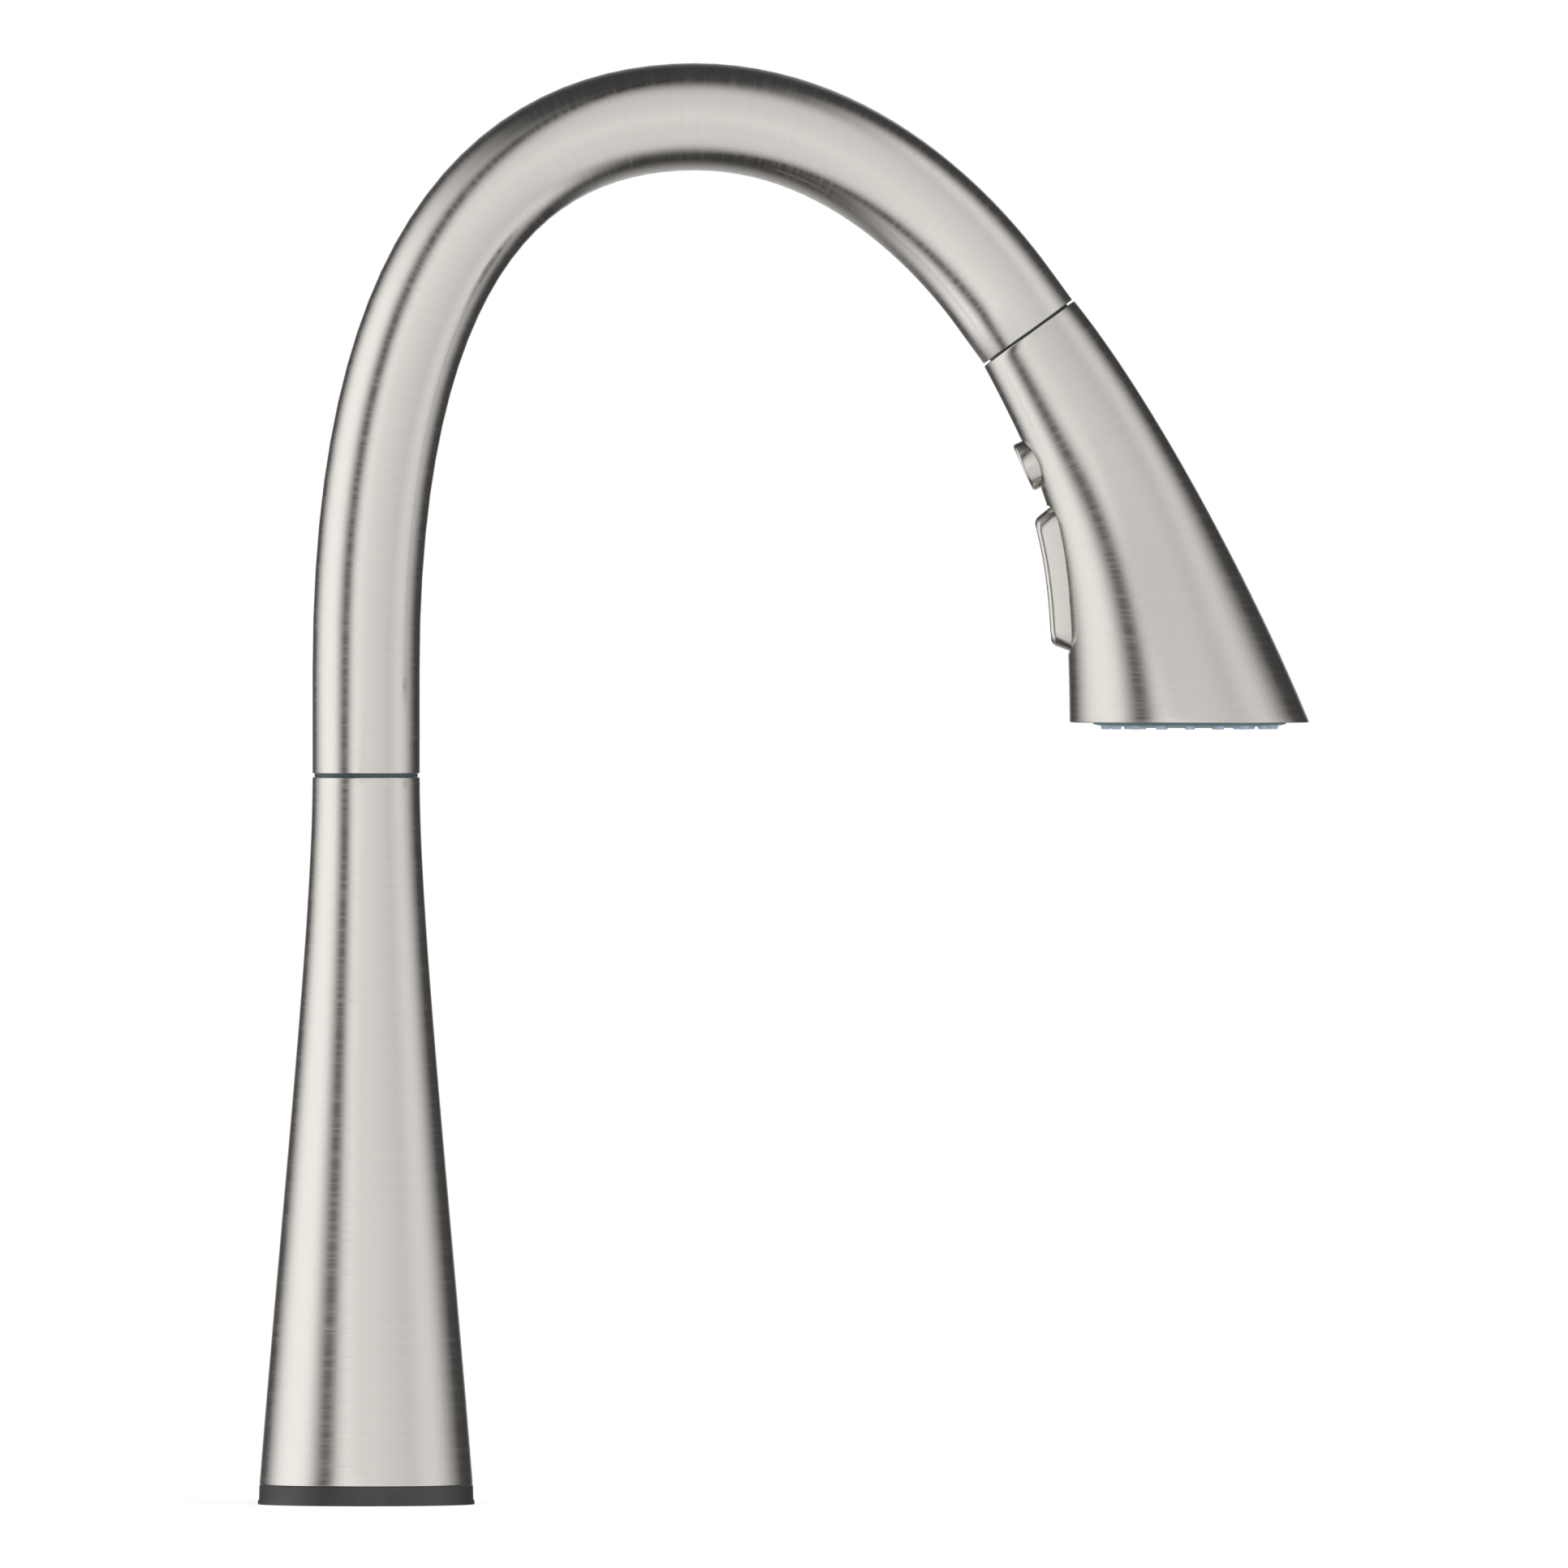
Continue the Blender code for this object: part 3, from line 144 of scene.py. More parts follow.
def bezier_way(curve, share):
    a, b, c, d = curve
    left = 1 - share
    return ((b - a) * left**2 + (c - b) * (2 * left * share) + (d - c) * share**2).normalized()


def heading(degrees):
    return Vector((math.cos(math.radians(degrees)), 0, math.sin(math.radians(degrees))))


HEAD_TOP = DOCK + DOCK_WAY * 0.25
DOCK_FRONT = heading(36)


def head_side(side, top_angle, top_ease, foot_angle, foot_ease):
    top = HEAD_TOP + DOCK_FRONT * (side * HEAD_TOP_RADIUS)
    foot = OUTLET + FORWARD * (side * HALF_LENGTH)
    return top, top + heading(top_angle) * top_ease, foot + heading(foot_angle) * foot_ease, foot


FRONT_CURVE = head_side(1, -51.2, 38.5, 112.0, 33.1)
BACK_CURVE = head_side(-1, -62.0, 45.1, 90.6, 46.2)
BACK_SHARES = np.linspace(0, 1, 800)
BACK_POINTS = np.array([bezier(BACK_CURVE, share) for share in BACK_SHARES])
BACK_LENGTHS = np.concatenate(([0], np.cumsum(np.linalg.norm(np.diff(BACK_POINTS, axis=0), axis=1))))


def back_point(share, along):
    """The point of the head's back at a distance down it from a share, and the direction there."""
    start = np.interp(share, BACK_SHARES, BACK_LENGTHS)
    place = float(np.interp(start + along, BACK_LENGTHS, BACK_SHARES))
    return bezier(BACK_CURVE, place), bezier_way(BACK_CURVE, place)


def place_at(origin, along, across=SIDEWAYS):
    """A place whose Z runs along one direction and whose Y lies nearest another."""
    z = Vector(along).normalized()
    y = (Vector(across) - z * Vector(across).dot(z)).normalized()
    place = Matrix((y.cross(z), y, z)).transposed().to_4x4()
    place.translation = Vector(origin) * MM
    return place


# ---- Materials ----------------------------------------------------------------------------

def linear(code):
    """A hex colour as the linear red, green, blue and alpha that Blender works in."""
    parts = [int(code[at:at + 2], 16) / 255 for at in (1, 3, 5)]
    return (*[p / 12.92 if p <= 0.04045 else ((p + 0.055) / 1.055)**2.4 for p in parts], 1)


def wire(tree, kind, sockets=None, stops=None, **settings):
    """Adds a node with its settings, its socket values and links, and a ramp's stops."""
    made = tree.nodes.new("ShaderNode" + kind)
    for name, value in settings.items():
        setattr(made, name, value)
    for name, value in (sockets or {}).items():
        if isinstance(value, bpy.types.NodeSocket):
            tree.links.new(value, made.inputs[name])
        else:
            made.inputs[name].default_value = value
    if stops:
        elements = made.color_ramp.elements
        elements.remove(elements[1])
        elements[0].position, elements[0].color = stops[0]
        for position, colour in stops[1:]:
            elements.new(position).color = colour
    return made


def new_material(name):
    material = bpy.data.materials.new(name)
    material.use_nodes = True
    return material, material.node_tree, material.node_tree.nodes["Principled BSDF"]


def brushed_nickel(name, colours):
    """Nickel plate brushed with a fine abrasive belt: hairlines that blur what it mirrors along one way.
    Real hairlines stand about 0.05 mm apart, and these are drawn about 0.3 mm apart so that they show."""
    material, tree, shader = new_material(name)
    shader.inputs["Metallic"].default_value = 1.0
    place = wire(tree, "Attribute", attribute_name="grain")
    lines = wire(tree, "Mapping", {"Vector": place.outputs["Vector"], "Scale": (55, 55, 3300)})
    hair = wire(tree, "TexNoise", {"Vector": lines.outputs[0], "Scale": 1.0, "Detail": 3.0, "Roughness": 0.6})
    bands = wire(tree, "Mapping", {"Vector": place.outputs["Vector"], "Scale": (22, 22, 900)})
    patch = wire(tree, "TexNoise", {"Vector": bands.outputs[0], "Scale": 1.0, "Detail": 2.0})
    both = wire(tree, "Math", {0: hair.outputs["Fac"], 1: patch.outputs["Fac"]}, operation="ADD")
    rough = wire(tree, "MapRange", {"Value": both.outputs[0], "From Min": 0.85, "From Max": 1.3,
                                    "To Min": 0.16, "To Max": 0.27})
    tone = wire(tree, "ValToRGB", {"Fac": patch.outputs["Fac"]},
                stops=[(0.3, linear(colours[0])), (0.7, linear(colours[1]))])
    bump = wire(tree, "Bump", {"Height": hair.outputs["Fac"], "Strength": 0.2, "Distance": 0.000006})
    tree.links.new(tone.outputs[0], shader.inputs["Base Color"])
    tree.links.new(rough.outputs[0], shader.inputs["Roughness"])
    tree.links.new(bump.outputs[0], shader.inputs["Normal"])
    return material


def solid_finish(name, colours, roughness, grain_mm, bump_mm, metallic=0.0, ior=1.5, subsurface=0.0):
    """A finish of one colour, with the small mottling, gloss and grain that its making gives it."""
    material, tree, shader = new_material(name)
    shader.inputs["Metallic"].default_value = metallic
    shader.inputs["IOR"].default_value = ior
    shader.inputs["Subsurface Weight"].default_value = subsurface
    shader.inputs["Subsurface Radius"].default_value = (0.001, 0.001, 0.001)
    place = wire(tree, "TexCoord")
    spot = place.outputs["Object"]
    fine = wire(tree, "TexNoise", {"Vector": spot, "Scale": 1000 / grain_mm, "Detail": 3.0})
    broad = wire(tree, "TexNoise", {"Vector": spot, "Scale": 120.0, "Detail": 2.0})
    tone = wire(tree, "ValToRGB", {"Fac": broad.outputs["Fac"]},
                stops=[(0.35, linear(colours[0])), (0.65, linear(colours[1]))])
    rough = wire(tree, "MapRange", {"Value": fine.outputs["Fac"], "From Min": 0.3, "From Max": 0.7,
                                    "To Min": roughness[0], "To Max": roughness[1]})
    bump = wire(tree, "Bump", {"Height": fine.outputs["Fac"], "Strength": 0.4, "Distance": bump_mm * MM})
    tree.links.new(tone.outputs[0], shader.inputs["Base Color"])
    tree.links.new(rough.outputs[0], shader.inputs["Roughness"])
    tree.links.new(bump.outputs[0], shader.inputs["Normal"])
    return material


def braided_nylon(name, source):
    """Nylon yarn braided over a rubber hose: strands about 2 mm wide that cross both ways round it."""
    material, tree, shader = new_material(name)
    shader.inputs["Roughness"].default_value = 0.55
    if source:
        place = wire(tree, "Attribute", attribute_name=source).outputs["Vector"]
    else:
        turned_back = place_at(DOCK, DOCK_WAY).inverted()
        local = wire(tree, "Mapping", {"Vector": wire(tree, "TexCoord").outputs["Object"],
                                       "Location": turned_back.translation,
                                       "Rotation": turned_back.to_euler()})
        place = local.outputs[0]
    parts = wire(tree, "SeparateXYZ", {0: place})
    turn = wire(tree, "Math", {0: parts.outputs["Y"], 1: parts.outputs["X"]}, operation="ARCTAN2")
    around = wire(tree, "Math", {0: turn.outputs[0], 1: 8.0}, operation="MULTIPLY")
    along = wire(tree, "Math", {0: parts.outputs["Z"], 1: math.tau / 0.0045}, operation="MULTIPLY")
    strands = []
    for operation in ("ADD", "SUBTRACT"):
        slant = wire(tree, "Math", {0: around.outputs[0], 1: along.outputs[0]}, operation=operation)
        wave = wire(tree, "Math", {0: slant.outputs[0]}, operation="SINE")
        strands.append(wire(tree, "Math", {0: wave.outputs[0]}, operation="ABSOLUTE"))
    height = wire(tree, "Math", {0: strands[0].outputs[0], 1: strands[1].outputs[0]}, operation="MAXIMUM")
    # The yarn's grey darkens toward each strand's edges and to near black where the strands part: the black
    # rubber hose shows in the gaps, and the rest of the darkening is painted shade in the creases between
    # strands.
    tone = wire(tree, "ValToRGB", {"Fac": height.outputs[0]},
                stops=[(0.45, linear("#2E3033")), (0.95, linear("#8B8E92"))])
    bump = wire(tree, "Bump", {"Height": height.outputs[0], "Strength": 0.8, "Distance": 0.0004})
    tree.links.new(tone.outputs[0], shader.inputs["Base Color"])
    tree.links.new(bump.outputs[0], shader.inputs["Normal"])
    return material


NICKEL = brushed_nickel("brushed nickel plate", ("#CFCBC6", "#D2CEC9"))
# The head, its button and its rocker wear the spout's nickel painted a shade darker: painted shade that
# copies how much darker the head looks under the studio light.
SHADED_HEAD_NICKEL = brushed_nickel("brushed nickel plate on the head, painted a shade darker", ("#C7C3BE", "#CAC6C1"))
BLACK_ZINC = solid_finish("black plated zinc", ("#333331", "#3B3B39"), (0.36, 0.46), 0.6, 0.006)
RUBBER = solid_finish("black EPDM rubber", ("#161616", "#1E1E1E"), (0.62, 0.78), 0.5, 0.02)
BRASS = solid_finish("machined brass", ("#B79456", "#C9A765"), (0.24, 0.38), 0.4, 0.008, metallic=1.0)
STEEL = solid_finish("stainless steel", ("#A9A9A8", "#BDBDBC"), (0.24, 0.36), 0.4, 0.006, metallic=1.0)
MAGNET = solid_finish("sintered ferrite", ("#2A2A2C", "#343437"), (0.45, 0.62), 0.4, 0.01, metallic=0.3)
ACETAL = solid_finish("white acetal", ("#DEDDD6", "#E8E7E1"), (0.36, 0.46), 0.8, 0.004, ior=1.48,
                      subsurface=0.1)
ALUMINA = solid_finish("polished alumina", ("#EDEBE4", "#F5F3EE"), (0.08, 0.14), 0.5, 0.001, ior=1.76)
# Teal acetal for the glide ring and the dock liner, darkened with painted shade: the shade inside the narrow
# seams they sit in is put into their colour.
SEAM_SHADED_TEAL = solid_finish("teal acetal darkened with painted seam shade", ("#33494E", "#3B5257"), (0.34, 0.44), 0.7, 0.006, ior=1.48)
TEAL = solid_finish("moulded teal ABS", ("#4C757A", "#558186"), (0.34, 0.44), 0.7, 0.008, ior=1.53)
SILICONE = solid_finish("pale blue silicone", ("#B4C6DC", "#C3D2E6"), (0.42, 0.52), 0.6, 0.006, ior=1.41,
                        subsurface=0.15)
ENAMEL = solid_finish("red enamel", ("#A3201B", "#B42822"), (0.18, 0.26), 0.6, 0.002)
BRAID = braided_nylon("braided nylon hose", "grain")
PULLED_BRAID = braided_nylon("braided nylon hose end", "")


# ---- Shaping ------------------------------------------------------------------------------

def ease(bm, radius, angle=38):
    """Rounds the hard edges."""
    bmesh.ops.remove_doubles(bm, verts=bm.verts, dist=2e-6)
    bmesh.ops.recalc_face_normals(bm, faces=bm.faces)
    hard = [edge for edge in bm.edges
            if edge.is_manifold and edge.calc_face_angle() > math.radians(angle)]
    if radius and hard:
        bmesh.ops.bevel(bm, geom=hard, offset=radius * MM, segments=3, profile=0.5, affect="EDGES",
                        offset_type="OFFSET", material=-1, clamp_overlap=True)


def turned(profile, place=Matrix.Identity(4), steps=128, radius=0.25):
    """A solid turned about a place's Z from its section's (radius, height) corners."""
    bm = bmesh.new()
    along = bm.verts.layers.float.new("along")
    grain = bm.verts.layers.float_vector.new("grain")
    corners, length, last = [], 0.0, Vector(profile[0])
    for corner in profile:
        length += (Vector(corner) - last).length
        last = Vector(corner)
        made = bm.verts.new((corner[0] * MM, 0, corner[1] * MM))
        made[along] = length * MM
        corners.append(made)
    edges = [bm.edges.new(pair) for pair in zip(corners, corners[1:])]
    if profile[0][0] or profile[-1][0]:
        edges.append(bm.edges.new((corners[-1], corners[0])))
    bmesh.ops.spin(bm, geom=corners + edges, cent=(0, 0, 0), axis=(0, 0, 1), angle=math.tau,
                   steps=steps, use_merge=True)
    ease(bm, radius)
    for vert in bm.verts:
        vert[grain] = (vert.co.x, vert.co.y, vert[along])
    bmesh.ops.transform(bm, matrix=place, verts=bm.verts)
    return bm


def drawn(stations, sides=112, radius=0.3, hollow=True, lengthwise=False):
    """A skin drawn through ellipses, each a place and its half sizes: a tube whose last ellipse meets
    its first, or a rod with closed ends."""
    bm = bmesh.new()
    grain = bm.verts.layers.float_vector.new("grain")
    verts = bmesh.ops.create_circle(bm, segments=sides, radius=1)["verts"]
    girth = stations[0][1]
    for vert in verts:
        vert[grain] = (vert.co.x * girth * MM, vert.co.y * girth * MM, 0)
    edges = list(bm.edges)
    first, before, length = edges, Matrix.Identity(4), 0.0
    for number, (place, half_x, half_y) in enumerate(stations):
        now = place @ Matrix.Diagonal((half_x * MM, half_y * MM, 1, 1))
        if number:
            length += (place.translation - stations[number - 1][0].translation).length
            length += abs(half_x - stations[number - 1][1]) * MM
            grown = bmesh.ops.extrude_edge_only(bm, edges=edges)["geom"]
            verts = [item for item in grown if isinstance(item, bmesh.types.BMVert)]
            edges = [item for item in grown if isinstance(item, bmesh.types.BMEdge)
                     and all(end in set(verts) for end in item.verts)]
        bmesh.ops.transform(bm, matrix=now @ before.inverted(), verts=verts)
        for vert in verts:
            vert[grain] = (vert[grain].x, vert[grain].y, length)
        before = now
    if hollow:
        bmesh.ops.bridge_loops(bm, edges=first + edges)
    else:
        bmesh.ops.edgeloop_fill(bm, edges=first)
        bmesh.ops.edgeloop_fill(bm, edges=edges)
    if lengthwise:
        for vert in bm.verts:
            round_it = math.atan2(vert[grain].y, vert[grain].x) * girth * MM
            vert[grain] = (vert[grain].z, 0, abs(round_it))
    ease(bm, radius)
    return bm


def mesh_of(bm, smooth=35):
    bmesh.ops.remove_doubles(bm, verts=bm.verts, dist=1e-6)
    bmesh.ops.recalc_face_normals(bm, faces=bm.faces)
    mesh = bpy.data.meshes.new("shape")
    bm.to_mesh(mesh)
    bm.free()
    mesh.shade_smooth()
    mesh.set_sharp_from_angle(angle=math.radians(smooth))
    return mesh


def piece(name, bm, material, body, slot, *nodes):
    """A finished piece that stands for CAD nodes and rides on their body."""
    obj = bpy.data.objects.new(name, mesh_of(bm))
    bpy.context.scene.collection.objects.link(obj)
    obj.data.materials.append(material)
    if nodes:
        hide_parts(*nodes)
    if body:
        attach(obj, body)
    return obj


def cut(obj, *tools):
    """Takes shapes out of a piece for good."""
    for bm in tools:
        tool = bpy.data.objects.new("tool", mesh_of(bm))
        bpy.context.scene.collection.objects.link(tool)
        change = obj.modifiers.new("cut", "BOOLEAN")
        change.operation = "DIFFERENCE"
        change.solver = "EXACT"
        change.object = tool
        bpy.context.view_layer.update()
        result = bpy.data.meshes.new_from_object(obj.evaluated_get(bpy.context.evaluated_depsgraph_get()))
        obj.modifiers.clear()
        old, obj.data = obj.data, result
        bpy.data.meshes.remove(old)
        bpy.data.objects.remove(tool)


def keep_out_of_mirrors(obj):
    """The other pieces mirror the soft panels behind this one, not this one."""
    obj.visible_glossy = False


def rod(radius, low, high, place, steps=48):
    return turned([(0, low), (radius, low), (radius, high), (0, high)], place, steps, 0)


# ---- Body and deck ------------------------------------------------------------------------

def body_line(low, high, inset, steps):
    """Points up the body's outline, set in from its outside."""
    line = [bezier(BODY_CURVE, step / 300) for step in range(300, -1, -1)]
    heights, radii = [p.y for p in line], [p.x for p in line]
    return [(float(np.interp(z, heights, radii)) - inset, z) for z in np.linspace(low, high, steps + 1)]


VALVE_PLACE = place_at(PIVOT, SIDEWAYS, UP)


def make_body():
    foot = RING_HEIGHT + 0.05
    outside = body_line(foot, BODY_HEIGHT, 0, 60)
    inside = body_line(foot, BODY_HEIGHT, BODY_WALL, 12)
    shell = piece("body_shell_finished", turned(outside + inside[::-1], steps=160, radius=0.35), NICKEL,
                  "faucet_base", "brushed_nickel", "body_shell")
    cut(shell, rod(CARTRIDGE_OUT + FIT, -PIVOT.y, 3.5, VALVE_PLACE))
    keep_out_of_mirrors(shell)
    rim = FOOT_RADIUS + 0.44
    ring = [(16.3, 0), (22, 0), (22, 2.1), (27, 2.1), (27, 0), (rim, 0), (rim, 0.8),
            (FOOT_RADIUS + 0.1, 1.5), (FOOT_RADIUS, RING_HEIGHT), (16.3, RING_HEIGHT)]
    piece("base_ring_finished", turned(ring, steps=160, radius=0.2), BLACK_ZINC, "faucet_base",
          "black_zinc", "base_ring")
    glide = [(11.5, 199.5), (12.1, 199.5), (12.1, 199.85), (14.2, 199.85), (14.2, 200.75), (11.5, 200.75)]
    # The glide ring's darker teal is partly its own colour and partly painted shade of the seam it lies in.
    piece("glide_ring_finished", turned(glide, steps=96, radius=0.1), SEAM_SHADED_TEAL, "spout", "teal_plastic",
          "spout_glide_ring")


def make_shank():
    """The threaded shank, with its thread's grooves 1.5 mm apart below the deck."""
    outside, pitch = [(15, -62), (16, -61)], 1.5
    for turn in range(33):
        height = -60.2 + turn * pitch
        outside += [(16, height), (15.15, height + 0.6), (15.15, height + 0.75), (16, height + 1.35)]
    outside += [(16, 13), (15, 14)]
    piece("shank_finished", turned([(13, -62), *outside, (13, 14)], steps=72, radius=0), BRASS,
          "faucet_base", "brass", "threaded_shank")


# ---- Valve and lever ----------------------------------------------------------------------

def dome(radius, start, end, steps):
    """Points on a ball about the pivot, by their angles from the valve's axis."""
    return [(radius * math.sin(math.radians(a)), radius * math.cos(math.radians(a)))
            for a in np.linspace(start, end, steps + 1)]


def make_valve_covers():
    tube = [(CARTRIDGE_OUT + FIT, -30.951), (COVER_RADIUS, -30.951), (COVER_RADIUS, -3.3),
            (CARTRIDGE_OUT + FIT, -3.3)]
    collar = piece("valve_collar_finished", turned(tube, VALVE_PLACE, 112, 0.25), NICKEL, "faucet_base",
                   "brushed_nickel", "valve_collar")
    line = body_line(52, 104, -FIT, 24)
    cut(collar, turned([(0, 52), *line, (0, 104)], steps=128, radius=0))
    shell = [(COVER_RADIUS, -3), *dome(COVER_RADIUS, 90, 44, 16), *dome(16.29, 44, 90, 12), (16.29, -3)]
    piece("valve_cover_finished", turned(shell, VALVE_PLACE, 112, 0.15), NICKEL, "faucet_base",
          "brushed_nickel", "valve_cover")


def make_handle():
    boss = math.degrees(math.asin(5.0 / HUB_INNER))
    hub_line = [*dome(HUB_RADIUS, 0, 72, 28), *dome(HUB_INNER, 72, boss, 12), (5, 8.5), (3.5, 8.5),
                (3.5, 14.5), (0, 14.5)]
    hub = piece("handle_hub_finished", turned(hub_line, VALVE_PLACE, 128, 0.3), NICKEL, "handle",
                "brushed_nickel", "handle_hub")
    shell_out = math.sqrt(HUB_RADIUS**2 - 12.5**2)
    plug_place = place_at(PIVOT, SIDEWAYS * 12.5 - UP * shell_out, FORWARD)
    way = (UP + SIDEWAYS * math.tan(math.radians(LEVER_LEAN))).normalized()
    foot = PIVOT + SIDEWAYS * LEVER_OUT
    rise = math.sqrt(HUB_RADIUS**2 - LEVER_OUT**2)
    stud_place = place_at(foot, way, FORWARD)
    cut(hub, rod(2, 2, 7, place_at(PIVOT + SIDEWAYS * 12.5, -UP, FORWARD)),
        rod(3.3, HUB_INNER - 2, HUB_RADIUS + 2, plug_place), rod(1.9, rise - 5, rise + 3, stud_place))
    plug = [(0, 18.19), (3, 18.19), (3, HUB_RADIUS + 0.05), (2.6, HUB_RADIUS + 0.2), (0, HUB_RADIUS + 0.2)]
    piece("index_plug_finished", turned(plug, plug_place, 48, 0.12), ENAMEL, "handle", "index_red",
          "index_plug")
    stations = []
    for share in [*np.linspace(0, 0.9, 28), 0.92, 0.94, 0.955, 0.97, 0.98, 0.99, 0.996, 1]:
        slim = min(1, 0.55 + math.sqrt(max(1 - share, 0) * 8))
        middle = foot + way * (rise - 4 + (LEVER_LENGTH + 4) * share)
        stations.append((place_at(middle, way), 5.0 * (0.82 + 0.18 * share) * slim,
                         2.8 * (1.1 - 0.45 * share) * slim))
    lever = piece("lever_finished", drawn(stations, 64, 0.6, hollow=False, lengthwise=True), NICKEL,
                  "handle", "brushed_nickel", "lever")
    ball = bmesh.new()
    bmesh.ops.create_uvsphere(ball, u_segments=64, v_segments=32, radius=(HUB_RADIUS + FIT) * MM,
                              matrix=Matrix.Translation(PIVOT * MM))
    cut(lever, ball, rod(1.9, rise - 4, rise + 9.3, stud_place))


# ---- Spout, dock and hose -----------------------------------------------------------------

def spout_stations(foot, end, steps=26):
    """Points and directions up the spout's middle line, from a height to a distance past the dock."""
    stations = [(Vector((0, 0, foot)), UP)]
    for number, curve in enumerate(ARCH_CURVES):
        for step in range(min(number, 1), steps + 1):
            stations.append((bezier(curve, step / steps), bezier_way(curve, step / steps)))
    stations.append((DOCK + DOCK_WAY * end, DOCK_WAY))
    return stations


def make_spout():
    line = spout_stations(SPOUT_FOOT, -0.25)
    outer, inner = [], []
    for number, (point, way) in enumerate(line):
        share = number / (len(line) - 1)
        radius = SPOUT_RADIUS + (SPOUT_END_RADIUS - SPOUT_RADIUS) * max(0, share - 0.6) / 0.4
        place = place_at(point, way)
        outer.append((place, radius, radius))
        inner.append((place, radius - SPOUT_WALL, radius - SPOUT_WALL))
    tube = piece("spout_tube_finished", drawn(outer + inner[::-1], 128, 0.3), NICKEL, "spout",
                 "brushed_nickel", "spout_tube")
    keep_out_of_mirrors(tube)
    hose = [(place_at(point, way), HOSE_RADIUS, HOSE_RADIUS)
            for point, way in spout_stations(-61.7, -13, 30)]
    run = piece("spray_hose_run", drawn(hose, 32, 0, hollow=False), BRAID, "spout", "grey_braid",
                "spray_hose")
    keep_out_of_mirrors(run)
    end = [(place_at(DOCK + DOCK_WAY * reach, DOCK_WAY), HOSE_RADIUS, HOSE_RADIUS)
           for reach in np.linspace(-12.9, -1, 64)]
    pulled = piece("spray_hose_end", drawn(end, 32, 0, hollow=False), PULLED_BRAID, None, "grey_braid")
    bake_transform(pulled)


DOCK_PLACE = place_at(DOCK, DOCK_WAY)


def make_dock():
    liner = [(11.3, -16.2), (13.05, -16.2), (13.05, 0.25), (11.3, 0.25)]
    # The liner's darker teal is partly its own colour and partly painted shade of the seam at the dock.
    piece("dock_liner_finished", turned(liner, DOCK_PLACE, 96, 0.1), SEAM_SHADED_TEAL, "spout", "teal_plastic",
          "dock_liner")
    collar = [(7.75, -14), (11, -14), (11, -8), (10.1, -8), (10.1, -6.2), (11, -6.2), (11, 1),
              (13, 1), (13, 7.2), (7.75, 7.2)]
    piece("head_collar_finished", turned(collar, DOCK_PLACE, 96, 0.2), TEAL, "spray_head",
          "teal_plastic", "head_collar")
    seal = [(10.67 + 0.45 * math.cos(a), -7.1 + 0.45 * math.sin(a))
            for a in np.linspace(0, math.tau, 17)[:-1]]
    piece("collar_seal_finished", turned(seal, DOCK_PLACE, 72, 0), RUBBER, "spray_head",
          "black_rubber", "collar_o_ring")
    ferrule = [(6.55, -9), (7.45, -9), (7.45, -6), (7.2, -5.6), (7.2, -4.8), (7.45, -4.4), (7.45, 3),
               (6.55, 3)]
    piece("hose_ferrule_finished", turned(ferrule, DOCK_PLACE, 64, 0.1), STEEL, "hose_end", "steel",
          "hose_ferrule")


# ---- Spray head ---------------------------------------------------------------------------

def head_station(share, inset):
    front, back = bezier(FRONT_CURVE, share), bezier(BACK_CURVE, share)
    across, half = (front - back).normalized(), (front - back).length / 2
    width = half * (1 + (HALF_WIDTH / HALF_LENGTH - 1) * share) - HEAD_SLIM * share * (1 - share)**2
    place = Matrix((across, SIDEWAYS, across.cross(SIDEWAYS))).transposed().to_4x4()
    place.translation = (front + back) / 2 * MM
    return place, half - inset, width - inset


def button_place():
    point, way = bezier(BACK_CURVE, BUTTON_SHARE), bezier_way(BACK_CURVE, BUTTON_SHARE)
    out = Matrix.Rotation(math.radians(-BUTTON_TILT), 3, "Y") @ SIDEWAYS.cross(way)
    return place_at(point, out, -SIDEWAYS)


